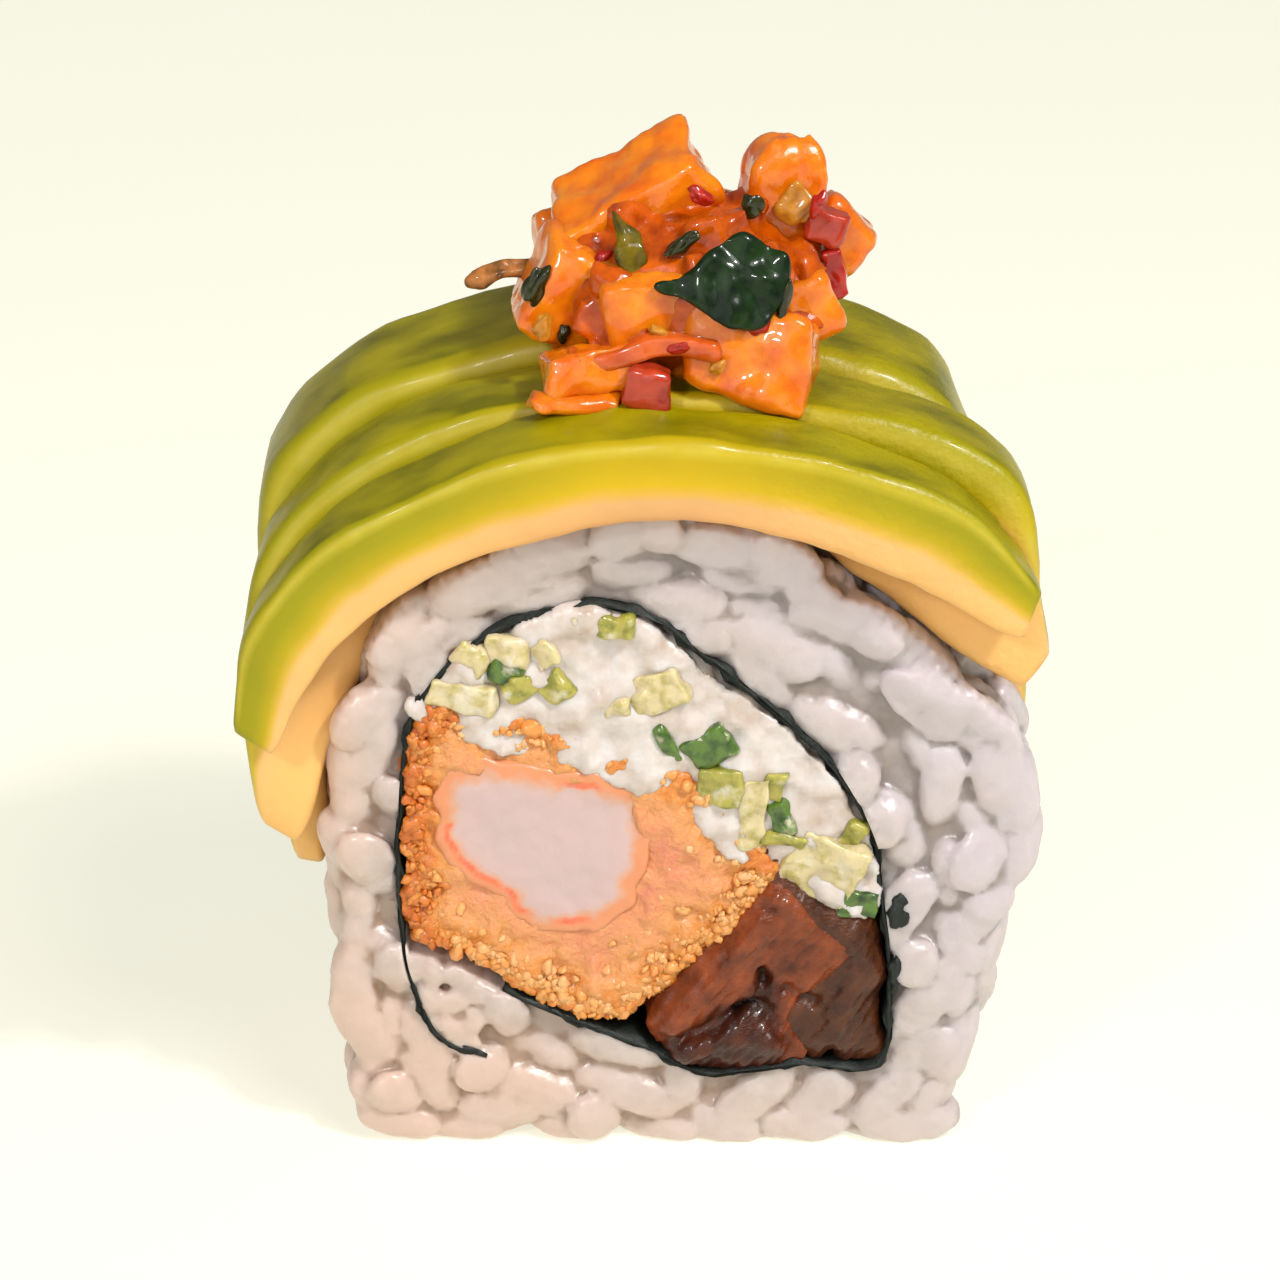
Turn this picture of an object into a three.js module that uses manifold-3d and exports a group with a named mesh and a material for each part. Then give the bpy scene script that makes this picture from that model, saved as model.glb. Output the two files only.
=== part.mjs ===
// Uramaki slice: rice outside a sheet of nori, a crumbed prawn, cream cheese and braised mushroom
// inside it, three avocado slices laid over it and a mango salsa on top.
// Millimetres, +Z up. The cut face looks along -Y and the rice stands on its flat bottom at Z = 0.

import * as THREE from 'three';
import { mergeVertices } from 'three/addons/utils/BufferGeometryUtils.js';
import Module from 'manifold-3d';

const wasm = await Module();
wasm.setup();

// Driving dimensions
const MIDDLE = { x: 0.55, y: 1.8 };
const GAP = 0.3;
const RICE = { front: -12, back: 11, skin: 1.0, relief: 0.7, sunk: 1.4, tolerance: 0.25 };
const WALL_GRAINS = { step: 4.4, rows: 4 };
const GRAIN = { length: 6.2, width: 3.1, thickness: 2.8 };
const NORI = { thickness: 0.5, front: -12.1, back: 11.1 };
const FILLING = { front: -12.2, back: 11.2 };
const CRUMB = { size: 1.1, shown: 16, crag: 0.6, sunk: 0.4, tolerance: 0.1 };
const BIT = { proud: 0.3, depth: 1.6, shown: 12 };
const RIM_RISE = 0.11;
const CUT = { front: -40, back: 40 };

// Outlines of the cut face, as X and Z, from the left over the top and back along the bottom
const RICE_OUTLINE = [
  [-18.8, 0], [-20.8, 5], [-21.6, 15], [-21.9, 24], [-20.7, 30.6], [-18.6, 36.2], [-15.9, 40.4],
  [-11, 43.6], [-5.5, 45.9], [0, 47.3], [4.5, 46.6], [8.5, 45.1], [12.8, 41.4], [16.7, 38.5],
  [20.3, 34.8], [24.1, 31.4], [25.9, 26], [25.6, 21], [23.8, 16], [22.8, 10], [21.3, 4], [19.9, 0],
];
const NORI_PATH = [
  [-9.9, 12.2], [-5.5, 9.9], [0, 7.6], [3.5, 5.7], [10.4, 6.4], [15.7, 6.3], [16.4, 12.5],
  [15.7, 19.1], [14.9, 24], [12, 29.2], [7.2, 33.9], [3.3, 37.1], [0.6, 39.4], [-3.9, 40.6],
  [-9.8, 38.9], [-14.5, 34.8], [-16.1, 31], [-16.8, 24], [-16.9, 18], [-16.2, 12.6],
  [-14.4, 8.4], [-11.2, 7.0],
];
const NORI_RING_END = 18;
const POCKET_ROOF = [[-16.3, 15.2], [-12.7, 13.8], [-10.4, 12.2]];
const COATING_OUTLINE = [
  [-16.2, 18.2], [-16.1, 24], [-15.9, 29.2], [-14.6, 32.8], [-8.6, 32.2], [-3.4, 30.2], [1.2, 28.8],
  [4.4, 26.6], [6.8, 23.8], [8.2, 20.4], [5.4, 17.0], [2.0, 13.8], [-1.4, 10.6], [-4.7, 10.3],
  [-9.0, 12.6], [-12.4, 15.0], [-15.6, 16.4],
];
const PRAWN_OUTLINE = [
  [-13.3, 22.8], [-13.6, 25.4], [-13.1, 28.0], [-9.7, 28.7], [-5.4, 27.8], [-1.6, 26.8],
  [-0.8, 22.4], [-3.2, 17.9], [-6.0, 17.3], [-8.7, 18.4], [-11.2, 21.0],
];
const CREAM_OUTLINE = [
  [-15.6, 33.4], [-12.6, 36.2], [-8.6, 38.6], [-3.6, 40.0], [0.6, 38.7], [5, 35], [10.4, 30.2],
  [14, 25], [15.1, 20.2], [14.6, 18.6], [10.8, 21.2], [6.2, 23.2], [2, 27], [-2, 29], [-9, 31.2],
];
const MUSHROOM_FRONT = [
  [0.6, 11.8], [3.4, 14.6], [5.8, 17.8], [8.0, 20.8], [11.0, 19.0], [12.6, 15.2], [10.8, 12.2],
  [9.4, 9.6], [10.8, 6.6], [4.0, 6.2], [0.2, 8.4],
];
const MUSHROOM_BACK = [
  [8.4, 14], [7.2, 20.4], [6.8, 23.2], [9.8, 23.4], [11.6, 21.0], [13.6, 19.6], [15.4, 16],
  [16.0, 12.6], [15.3, 9.4], [15.6, 6.8], [11, 6.7], [8.6, 8.6],
];

// Each avocado slice is an arch: its rim outside, its bed on the rice, and where its two cut
// sides lie in Y at the crown and at the ends
const SLICES = [
  {
    name: 'avocado_front',
    rim: [[-27.4, 33.3], [-26.2, 39.6], [-21.8, 45.5], [-15.4, 49.3], [-8, 52.2], [-0.7, 53.2],
      [7, 52.7], [14, 51], [20.6, 48.2], [25.2, 43]],
    bed: [[-23.4, 31.3], [-22.1, 36.7], [-18.6, 40.8], [-13.5, 43.9], [-7, 46.5], [0, 47.6],
      [6, 46.9], [12, 45.5], [18, 42.6], [23.8, 39.5]],
    front: [-15.5, -15.2],
    back: [-9.15, -12.35],
  },
  {
    name: 'avocado_middle',
    rim: [[-26.6, 24.8], [-27.2, 31.2], [-26.4, 40.5], [-23.5, 45.9], [-16.8, 50.6], [-9.7, 53],
      [-0.7, 54.1], [7, 53.8], [13.5, 52.8], [20.2, 50.9], [24.6, 47.2], [26.4, 37.4]],
    bed: [[-23.5, 22.9], [-21.7, 29], [-19.8, 34.8], [-16.6, 40.3], [-11, 44], [-5.5, 46.3],
      [0, 47.7], [4.5, 47], [8.6, 45.5], [13.2, 42], [18.4, 37.9], [24.3, 33.9]],
    front: [-8.85, -12.05],
    back: [-2.15, -4.4],
  },
  {
    name: 'avocado_back',
    rim: [[-25, 17.8], [-26.2, 26], [-26.8, 36], [-26, 45.2], [-20.2, 51.2], [-10, 55],
      [-0.7, 55.9], [7, 55.4], [13.5, 54], [19.4, 51.4], [22.2, 46], [25, 38], [26.2, 29.4]],
    bed: [[-22.6, 17.4], [-22.2, 24], [-20.4, 33], [-16.8, 40.4], [-11, 44.1], [-5.5, 46.5],
      [0, 47.9], [4.5, 47.2], [8.8, 45.7], [13.2, 42.2], [18.2, 38], [21.2, 34], [23.6, 27.8]],
    front: [-1.85, -4.1],
    back: [9.6, 8.4],
  },
];

// Diced pieces of the salsa: middle, half sizes and turns in degrees
const DICE = [
  { name: 'mango_centre', at: [0.3, -6.3, 59.7], half: [3.9, 2.3, 2.2], turn: [10, -8, 12] },
  { name: 'mango_right', at: [6.5, -6.9, 56.3], half: [4.3, 2.6, 3.0], turn: [-12, 14, -10] },
  { name: 'mango_low', at: [-3.9, -8.2, 55.6], half: [3.1, 1.9, 1.4], turn: [-10, -8, 8] },
  { name: 'mango_slab', at: [-4.6, -9.9, 53.9], half: [3.1, 1.2, 0.55], turn: [0, 3, 6] },
  { name: 'onion_pink', at: [-0.2, -9.7, 54.9], half: [1.6, 1.2, 1.4], turn: [0, 12, 0] },
  { name: 'mango_left', at: [-5.4, -3.6, 59.6], half: [2.6, 2.6, 3.3], turn: [8, 24, 10] },
  { name: 'mango_top', at: [-1.2, 0.2, 64.6], half: [5.4, 3.4, 2.1], turn: [14, -27, 6] },
  { name: 'mango_loop', at: [8.8, 0.4, 65.1], half: [2.3, 2.0, 3.6], turn: [0, 8, 12] },
  { name: 'mango_corner', at: [12.1, 1.2, 61.8], half: [2.1, 1.9, 2.1], turn: [0, 42, 0] },
  { name: 'onion_purple', at: [11.5, -1.6, 63.3], half: [1.2, 0.9, 1.2], turn: [0, 20, 0] },
  { name: 'chili_red', at: [12.0, -2.2, 60.2], half: [0.8, 0.8, 1.8], turn: [0, -14, 0] },
  { name: 'salsa_strip', at: [-0.2, -9.0, 57.1], half: [4.7, 0.9, 0.8], turn: [0, -7, 0] },
  { name: 'mango_side', at: [10.0, -3.6, 58.6], half: [2.1, 2.0, 2.6], turn: [0, -20, 15] },
  { name: 'mango_behind_left', at: [-4.2, 4.6, 60.6], half: [3.4, 2.5, 2.7], turn: [-12, -16, 20] },
  { name: 'mango_behind_right', at: [4.4, 5.2, 61.6], half: [3.9, 2.5, 2.5], turn: [-20, 10, -14] },
  { name: 'mango_behind_low', at: [9.6, 4.6, 59.4], half: [2.9, 2.2, 2.0], turn: [0, 18, 25] },
];
const DICE_TOLERANCE = 0.1;
const HEAP = { at: [2.2, -1.4, 59.0], half: [9.2, 7.4, 6.0], bits: 12, bit: 1.7, tolerance: 0.35 };

// Leaves of the salsa: middle, half length, half height, thickness, wave and turns in degrees
const LEAVES = [
  { name: 'leaf_dark', at: [5.4, -8.4, 61.7], half: [4.0, 2.8], thick: 1.0, wave: 0.8, turn: [-22, -10, 4] },
  { name: 'leaf_olive', at: [-1.3, -6.2, 63.2], half: [2.3, 1.2], thick: 0.8, wave: 0.3, turn: [-20, 65, 0] },
  { name: 'leaf_curl', at: [-9.0, -2.4, 60.3], half: [3.0, 0.9], thick: 0.7, wave: 0.9, turn: [-30, -8, 10] },
];

const COLOURS = {
  rice: 0xdccfcc, nori: 0x14281f, coating: 0xe0a050, prawn: 0xe6cdce, cream: 0xf6eee4,
  mushroomFront: 0x7c4332, mushroomBack: 0x57352a, avocado: 0xb0b62a, mango: 0xec8322,
  salsa: 0xcf6820, onion: 0xb0565c, leafDark: 0x12301f, leafOlive: 0x6c6f1c, curl: 0x6b5a26,
};

// Seeded draws, the same on every run
let seed = 20817;
function draw(low = 0, high = 1) {
  seed = (seed * 1664525 + 1013904223) % 4294967296;
  return low + (high - low) * (seed / 4294967296);
}

const degrees = (value) => THREE.MathUtils.degToRad(value);
const flat = (pairs) => pairs.map(([x, z]) => new THREE.Vector2(x, z));
const soften = (value, power) => Math.sign(value) * Math.abs(value) ** (2 / power);

// Smooth curve through pairs of X and Z
function curve(pairs, closed = false) {
  const points = pairs.map(([x, z]) => new THREE.Vector3(x, 0, z));
  return new THREE.CatmullRomCurve3(points, closed, 'centripetal');
}

// Points along a curve between two of its parameters
function sampled(line, count, from = 0, to = 1) {
  return Array.from({ length: count }, (_, index) => {
    const place = line.getPoint(from + ((to - from) * index) / (line.closed ? count : count - 1));
    return new THREE.Vector2(place.x, place.z);
  });
}

const outlineOf = (pairs, count) => sampled(curve(pairs, true), count);

// Outline moved outwards, or inwards for a negative distance
function grown(outline, distance) {
  const side = Math.sign(THREE.ShapeUtils.area(outline));
  return outline.map((point, index) => {
    const before = outline.at(index - 1);
    const after = outline[(index + 1) % outline.length];
    const along = after.clone().sub(before).normalize();
    return new THREE.Vector2(point.x + side * distance * along.y, point.y - side * distance * along.x);
  });
}

// Ribbon of one thickness along an open line
function ribbon(line, thickness, ends = 0) {
  const sides = [[], []];
  line.forEach((point, index) => {
    const before = line[Math.max(index - 1, 0)];
    const after = line[Math.min(index + 1, line.length - 1)];
    const along = after.clone().sub(before).normalize();
    const across = new THREE.Vector2(-along.y, along.x).multiplyScalar(thickness / 2);
    const push = index === 0 ? -ends : index === line.length - 1 ? ends : 0;
    const place = point.clone().addScaledVector(along, push);
    sides[0].push(place.clone().add(across));
    sides[1].unshift(place.sub(across));
  });
  return [...sides[0], ...sides[1]];
}

function inside(point, outline) {
  return outline.reduce((found, corner, index) => {
    const other = outline.at(index - 1);
    const crosses = corner.y > point.y !== other.y > point.y;
    const edge = corner.x + ((other.x - corner.x) * (point.y - corner.y)) / (other.y - corner.y);
    return crosses && point.x < edge ? !found : found;
  }, false);
}

const nearest = (point, outline) => Math.min(...outline.map((other) => other.distanceTo(point)));

// Geometry with only its places left, shared by the faces that meet there
function welded(geometry) {
  geometry.deleteAttribute('normal');
  geometry.deleteAttribute('uv');
  return mergeVertices(geometry, 1e-4);
}

// Closed body from a geometry, with its faces turned outwards
function solid(geometry) {
  const merged = welded(geometry);
  const vertProperties = new Float32Array(merged.attributes.position.array);
  const triVerts = new Uint32Array(merged.index.array);
  const corner = (index) => new THREE.Vector3().fromArray(vertProperties, 3 * triVerts[index]);
  let volume = 0;
  for (let index = 0; index < triVerts.length; index += 3) {
    volume += corner(index).dot(corner(index + 1).cross(corner(index + 2)));
  }
  if (volume < 0) {
    triVerts.reverse();
  }
  return new wasm.Manifold(new wasm.Mesh({ numProp: 3, vertProperties, triVerts }));
}

const joined = (bodies) => wasm.Manifold.union(bodies);

const biggest = (body) => body.decompose().sort((a, b) => b.volume() - a.volume())[0];

// Largest part of a body in fewer faces, without the loose scraps that a cut leaves
function largest(body, tolerance = 0.03) {
  return biggest(biggest(body).simplify(tolerance));
}

// Welded geometry with every vertex moved by a rule
function reshape(source, rule) {
  const geometry = welded(source);
  const places = geometry.attributes.position;
  const vertex = new THREE.Vector3();
  for (let index = 0; index < places.count; index += 1) {
    vertex.fromBufferAttribute(places, index);
    rule(vertex);
    places.setXYZ(index, vertex.x, vertex.y, vertex.z);
  }
  return geometry;
}

// Outline run through the food along Y
function prism(outline, front, back) {
  const depth = back - front;
  const geometry = new THREE.ExtrudeGeometry(new THREE.Shape(outline), { depth, bevelEnabled: false });
  geometry.rotateX(Math.PI / 2);
  geometry.translate(0, back, 0);
  return solid(geometry);
}

const cutter = (outline) => prism(outline, CUT.front, CUT.back);

// Outline run through the food with rounded edges and two domed faces
function pillow(pairs, front, back, power = 5) {
  const ring = curve(pairs, true);
  const centre = new THREE.Vector2();
  flat(pairs).forEach((point) => centre.addScaledVector(point, 1 / pairs.length));
  const sphere = new THREE.SphereGeometry(1, 2 * pairs.length, 6);
  const geometry = reshape(sphere, (vertex) => {
    const turn = (Math.atan2(vertex.z, -vertex.x) / (2 * Math.PI) + 1) % 1;
    const spread = soften(Math.min(1, Math.hypot(vertex.x, vertex.z)), power);
    const edge = ring.getPoint(turn);
    const depth = (soften(vertex.y, power) + 1) / 2;
    vertex.set(
      centre.x + (edge.x - centre.x) * spread,
      front + (back - front) * depth,
      centre.y + (edge.z - centre.y) * spread,
    );
  });
  return solid(geometry);
}

// Three-dimensional frame of a small piece
function placed(geometry, at, turn) {
  geometry.rotateX(degrees(turn[0]));
  geometry.rotateY(degrees(turn[1]));
  geometry.rotateZ(degrees(turn[2]));
  geometry.translate(at[0], at[1], at[2]);
  return geometry;
}

function grain(at, turn) {
  const size = draw(0.82, 1.1);
  const geometry = new THREE.SphereGeometry(1, 5, 3);
  geometry.rotateZ(Math.PI / 2);
  geometry.scale((size * GRAIN.length) / 2, GRAIN.thickness / 2, (size * GRAIN.width) / 2);
  return solid(placed(geometry, at, turn));
}

// Grains that lie on the round wall of the rice, left bare by the avocado
function wallGrains() {
  const wall = curve(RICE_OUTLINE, true);
  const stops = Math.round(wall.getLength() / WALL_GRAINS.step);
  const grains = [];
  for (let stop = 0; stop < stops; stop += 1) {
    const point = wall.getPointAt(stop / stops);
    const along = wall.getTangentAt(stop / stops);
    const slope = THREE.MathUtils.radToDeg(Math.atan2(along.z, along.x));
    const bare = point.z > 1.5 && point.z < 34;
    for (let row = 0; bare && row < WALL_GRAINS.rows; row += 1) {
      const share = (row + draw(0.2, 0.8)) / WALL_GRAINS.rows;
      const geometry = new THREE.SphereGeometry(1, 5, 3);
      geometry.rotateZ(Math.PI / 2);
      geometry.scale(draw(0.42, 0.55) * GRAIN.length, GRAIN.width / 2, GRAIN.thickness / 2);
      geometry.rotateZ(degrees(draw(-80, 80)));
      geometry.rotateY(degrees(-slope));
      const inwards = new THREE.Vector3(along.z, 0, -along.x).multiplyScalar(RICE.sunk);
      const y = RICE.front + 1.6 + (RICE.back - RICE.front - 3.2) * share;
      geometry.translate(point.x + inwards.x, y, point.z + inwards.z);
      grains.push(solid(geometry));
    }
  }
  return grains;
}

// Grains that show on the two cut faces, turned roughly along the ring of rice
function faceGrains(outline, ring) {
  const step = { x: 5.7, z: 3.8 };
  const grains = [];
  for (let z = 1.2; z < 47; z += step.z) {
    for (let x = -24; x < 27; x += step.x) {
      const point = new THREE.Vector2(x + draw(-1, 1), z + draw(-0.7, 0.7));
      const free = inside(point, outline) && nearest(point, outline) > 0.9 && nearest(point, ring) > 1.1;
      const angle = THREE.MathUtils.radToDeg(Math.atan2(point.y - 22, point.x)) + 90 + draw(-45, 45);
      if (free && !inside(point, ring)) {
        grains.push(grain([point.x, RICE.front + RICE.relief, point.y], [0, -angle, draw(-12, 12)]));
        grains.push(grain([point.x, RICE.back - RICE.relief, point.y], [0, angle, draw(-12, 12)]));
      }
    }
  }
  return grains;
}

// Rice
const noriCurve = curve(NORI_PATH);
const noriLine = sampled(noriCurve, 52);
const ringShare = NORI_RING_END / (NORI_PATH.length - 1);
const zone = [...sampled(noriCurve, 44, 0, ringShare), ...flat(POCKET_ROOF)];
const noriCut = cutter(ribbon(noriLine, NORI.thickness + 2 * GAP, GAP));

function riceBody(slices) {
  const outline = outlineOf(RICE_OUTLINE, 88);
  const core = prism(grown(outline, -RICE.skin), RICE.front + RICE.skin, RICE.back - RICE.skin);
  const grains = [...wallGrains(), ...faceGrains(grown(outline, -0.6), zone)];
  const under = solid(new THREE.BoxGeometry(80, 80, 20).translate(0, 0, -10));
  const base = prism(flat([[-18.2, 0], [-19.9, 4], [20.6, 4], [19.4, 0]]), RICE.front + 1, RICE.back - 1);
  const cuts = joined([cutter(zone), noriCut, under, ...slices]);
  return largest(joined([core, base, ...grains]).subtract(cuts), RICE.tolerance);
}

// Nori
function noriBody() {
  return prism(ribbon(noriLine, NORI.thickness), NORI.front, NORI.back);
}

// Crumb coating: a craggy ring round the prawn, with crumbs on both cut faces
function coatingBody() {
  const outline = outlineOf(COATING_OUTLINE, 60).map((point, index) => {
    const crag = draw(0, 2 * CRUMB.crag) * (index % 2);
    return point.lerp(new THREE.Vector2(-5, 21), crag / 10);
  });
  const prawnCut = grown(outlineOf(PRAWN_OUTLINE, 33), GAP);
  const ring = prism(outline, FILLING.front, FILLING.back);
  const crumbs = [];
  while (crumbs.length < 2 * CRUMB.shown) {
    const point = new THREE.Vector2(draw(-16, 8.5), draw(10, 33));
    if (inside(point, grown(outline, -0.8)) && !inside(point, grown(prawnCut, 1))) {
      [FILLING.front + CRUMB.sunk, FILLING.back - CRUMB.sunk].forEach((y) => {
        const geometry = new THREE.OctahedronGeometry(CRUMB.size * draw(0.7, 1.2));
        const turn = [draw(0, 90), draw(0, 90), 0];
        crumbs.push(solid(placed(geometry, [point.x, y, point.y], turn)));
      });
    }
  }
  return largest(joined([ring, ...crumbs]).subtract(cutter(prawnCut)), CRUMB.tolerance);
}

// Cream cheese with chopped greens fused on at both cut faces
function creamBody(cuts) {
  const outline = outlineOf(CREAM_OUTLINE, 45);
  const bits = [];
  while (bits.length < 2 * BIT.shown) {
    const point = new THREE.Vector2(draw(-14, 15), draw(19, 39.5));
    if (inside(point, grown(outline, -1.3))) {
      const size = draw(1.4, 3.2);
      [FILLING.front + 0.6, FILLING.back - 0.6].forEach((y) => {
        const geometry = new THREE.BoxGeometry(size, BIT.depth + 2 * BIT.proud, draw(1.2, 2));
        bits.push(solid(placed(geometry, [point.x, y, point.y], [0, draw(0, 180), 0])));
      });
    }
  }
  const body = prism(outline, FILLING.front + 0.3, FILLING.back - 0.3);
  return largest(joined([body, ...bits]).subtract(joined(cuts)));
}

// Avocado slice, or the slightly larger space that its neighbours leave for it
function sliceBody(slice, spare = 0) {
  const rim = curve(slice.rim);
  const bed = curve(slice.bed);
  const geometry = reshape(new THREE.CylinderGeometry(1, 1, 1, 12, 18), (vertex) => {
    const along = 0.5 - vertex.y;
    const outer = rim.getPoint(along);
    const inner = bed.getPoint(along);
    const flank = (2 * along - 1) ** 2;
    const front = slice.front[0] + (slice.front[1] - slice.front[0]) * flank - spare;
    const back = slice.back[0] + (slice.back[1] - slice.back[0]) * flank + spare;
    const reach = 0.5 + spare / outer.distanceTo(inner);
    const tip = 1 - 0.3 * flank ** 9;
    const height = 0.5 + soften(vertex.x, 4) * reach * tip;
    const depth = 0.5 + 0.5 * soften(vertex.z, 8) * tip;
    const place = inner.lerp(outer, height);
    const rise = RIM_RISE * (back - front) * depth * height * (1 - flank);
    vertex.set(place.x, front + (back - front) * depth, place.z + rise);
  });
  return solid(geometry);
}

// Diced piece: a block with softened corners, each a little out of true
function dicedBody({ at, half, turn }, spare = 0) {
  const geometry = reshape(new THREE.BoxGeometry(2, 2, 2, 2, 2, 2), (vertex) => {
    const round = vertex.clone().normalize().multiplyScalar(1.25);
    const skew = Math.sin(7 * at[0] + 3 * vertex.x + 5 * vertex.y) * Math.cos(4 * at[2] + 6 * vertex.z);
    vertex.lerp(round, 0.45).multiplyScalar(1 + 0.1 * skew);
    vertex.set(vertex.x * (half[0] + spare), vertex.y * (half[1] + spare), vertex.z * (half[2] + spare));
  });
  return solid(placed(geometry, at, turn));
}

// Leaf: a thin wavy solid that comes to a point at both ends
function leafBody({ at, half, thick, wave, turn }, spare = 0) {
  const block = new THREE.BoxGeometry(2, thick + 2 * spare, 2, 8, 1, 4);
  const geometry = reshape(block, (vertex) => {
    const width = (half[1] + spare) * (0.22 + 0.78 * Math.sqrt(1 - 0.9 * vertex.x ** 2));
    const lift = wave * Math.sin(2.4 * vertex.x) * (0.4 + 0.6 * vertex.z ** 2) - wave * 0.6 * vertex.z ** 2;
    vertex.set(vertex.x * (half[0] + spare), vertex.y + lift, vertex.z * width);
  });
  return solid(placed(geometry, at, turn));
}

// Heap under the larger salsa pieces, with the finer dice fused on
function heapBody(cuts) {
  const [x, y, z] = HEAP.at;
  const core = new THREE.SphereGeometry(1, 12, 7).scale(...HEAP.half).translate(x, y, z);
  const bits = Array.from({ length: HEAP.bits }, () => {
    const turn = draw(0, 2 * Math.PI);
    const lift = draw(-0.35, 0.85);
    const spread = Math.sqrt(1 - lift ** 2);
    const at = [
      x + HEAP.half[0] * spread * Math.cos(turn),
      y + HEAP.half[1] * spread * Math.sin(turn),
      z + HEAP.half[2] * lift,
    ];
    const size = HEAP.bit * draw(0.7, 1.3);
    const geometry = new THREE.BoxGeometry(2 * size, 1.6 * size, 1.5 * size);
    return solid(placed(geometry, at, [draw(0, 90), draw(0, 90), draw(0, 90)]));
  });
  const heap = largest(joined([solid(core), ...bits]), HEAP.tolerance);
  return largest(heap.subtract(joined(cuts)), DICE_TOLERANCE);
}

function finish(colour, roughness) {
  return new THREE.MeshStandardMaterial({ color: colour, roughness, metalness: 0 });
}

const roll = new THREE.Group();
roll.position.set(MIDDLE.x, MIDDLE.y, 0);

function add(name, body, colour, roughness) {
  const { vertProperties, triVerts } = body.getMesh();
  const geometry = new THREE.BufferGeometry();
  geometry.setAttribute('position', new THREE.BufferAttribute(vertProperties, 3));
  geometry.setIndex(new THREE.BufferAttribute(triVerts, 1));
  geometry.computeVertexNormals();
  const mesh = new THREE.Mesh(geometry, finish(colour, roughness));
  mesh.name = name;
  roll.add(mesh);
}

const sliceSpaces = SLICES.map((slice) => sliceBody(slice, GAP));
const frontLobeSpace = cutter(grown(outlineOf(MUSHROOM_FRONT, 33), GAP));
const backLobeSpace = cutter(grown(outlineOf(MUSHROOM_BACK, 36), GAP));
const coatingSpace = cutter(grown(outlineOf(COATING_OUTLINE, 51), GAP));
const ringInside = cutter(zone);

add('rice', riceBody(sliceSpaces), COLOURS.rice, 0.35);
add('nori', noriBody(), COLOURS.nori, 0.5);
const trimmed = (body, ...cuts) => largest(body.intersect(ringInside).subtract(joined([noriCut, ...cuts])));
add('crumb_coating', trimmed(coatingBody()), COLOURS.coating, 0.6);
add('prawn', pillow(PRAWN_OUTLINE, FILLING.front - 0.3, FILLING.back + 0.3), COLOURS.prawn, 0.3);
const frontLobe = pillow(MUSHROOM_FRONT, FILLING.front - 0.5, FILLING.back + 0.5, 8);
const backLobe = pillow(MUSHROOM_BACK, FILLING.front, FILLING.back, 8);
add('mushroom_front', trimmed(frontLobe, coatingSpace), COLOURS.mushroomFront, 0.3);
add('mushroom_back', trimmed(backLobe, coatingSpace, frontLobeSpace), COLOURS.mushroomBack, 0.3);
const creamCuts = [coatingSpace, frontLobeSpace, backLobeSpace, noriCut];
add('cream_cheese', creamBody(creamCuts).intersect(ringInside), COLOURS.cream, 0.4);
SLICES.forEach((slice) => add(slice.name, sliceBody(slice), COLOURS.avocado, 0.35));

const SALSA_COLOURS = { mango: COLOURS.mango, onion: COLOURS.onion, chili: 0xb0261c, salsa: COLOURS.salsa };
const spaces = [...sliceSpaces];
LEAVES.forEach((leaf) => {
  const colour = { leaf_dark: COLOURS.leafDark, leaf_olive: COLOURS.leafOlive }[leaf.name] ?? COLOURS.curl;
  add(leaf.name, largest(leafBody(leaf).subtract(joined(spaces))), colour, 0.25);
  spaces.push(leafBody(leaf, GAP));
});
DICE.forEach((dice) => {
  const colour = SALSA_COLOURS[dice.name.split('_')[0]];
  add(dice.name, largest(dicedBody(dice).subtract(joined(spaces)), DICE_TOLERANCE), colour, 0.2);
  spaces.push(dicedBody(dice, GAP));
});
add('salsa', heapBody(spaces), COLOURS.salsa, 0.2);

export default roll;
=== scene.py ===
"""Looks of an uramaki roll slice: rice, nori, fried prawn, cream cheese, mushroom, avocado and salsa.

Every piece is modelled in millimetres in the roll's own frame, with the cut face looking along -Y,
and is then moved into the shared frame, in metres.
"""

import logging
import math
import random
from collections.abc import Callable, Iterable, Sequence
from dataclasses import dataclass, field
from enum import Enum
from functools import cache

import bmesh
import bpy
import numpy as np
from mathutils import Euler, Matrix, Vector, noise
from mathutils.kdtree import KDTree


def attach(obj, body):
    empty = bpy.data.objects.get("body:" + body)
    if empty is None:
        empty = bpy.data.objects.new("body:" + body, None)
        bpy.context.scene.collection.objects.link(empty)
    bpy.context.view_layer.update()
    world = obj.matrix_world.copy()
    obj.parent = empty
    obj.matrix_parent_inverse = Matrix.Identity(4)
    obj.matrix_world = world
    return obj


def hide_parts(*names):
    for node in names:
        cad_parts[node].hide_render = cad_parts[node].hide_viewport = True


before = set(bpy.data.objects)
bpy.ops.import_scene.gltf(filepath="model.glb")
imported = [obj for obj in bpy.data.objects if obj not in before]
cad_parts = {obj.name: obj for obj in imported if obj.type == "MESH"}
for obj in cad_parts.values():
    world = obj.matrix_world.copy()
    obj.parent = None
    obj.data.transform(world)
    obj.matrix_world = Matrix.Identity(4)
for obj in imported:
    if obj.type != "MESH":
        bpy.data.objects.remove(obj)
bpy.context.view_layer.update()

LOG = logging.getLogger("uramaki")
MM = 0.001
MIDDLE = Vector((0.55, 1.8, 0.0))
BODY = "root"
NOISE_SEED = 7

Pair = tuple[float, float]
Triple = tuple[float, float, float]
Colour = Triple
Rule = Callable[[Vector], Vector]


def srgb(red: int, green: int, blue: int) -> Colour:
    """Linear colour of an sRGB value from 0 to 255."""
    shares = [value / 255 for value in (red, green, blue)]
    return tuple(s / 12.92 if s <= 0.04045 else ((s + 0.055) / 1.055) ** 2.4 for s in shares)


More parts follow.
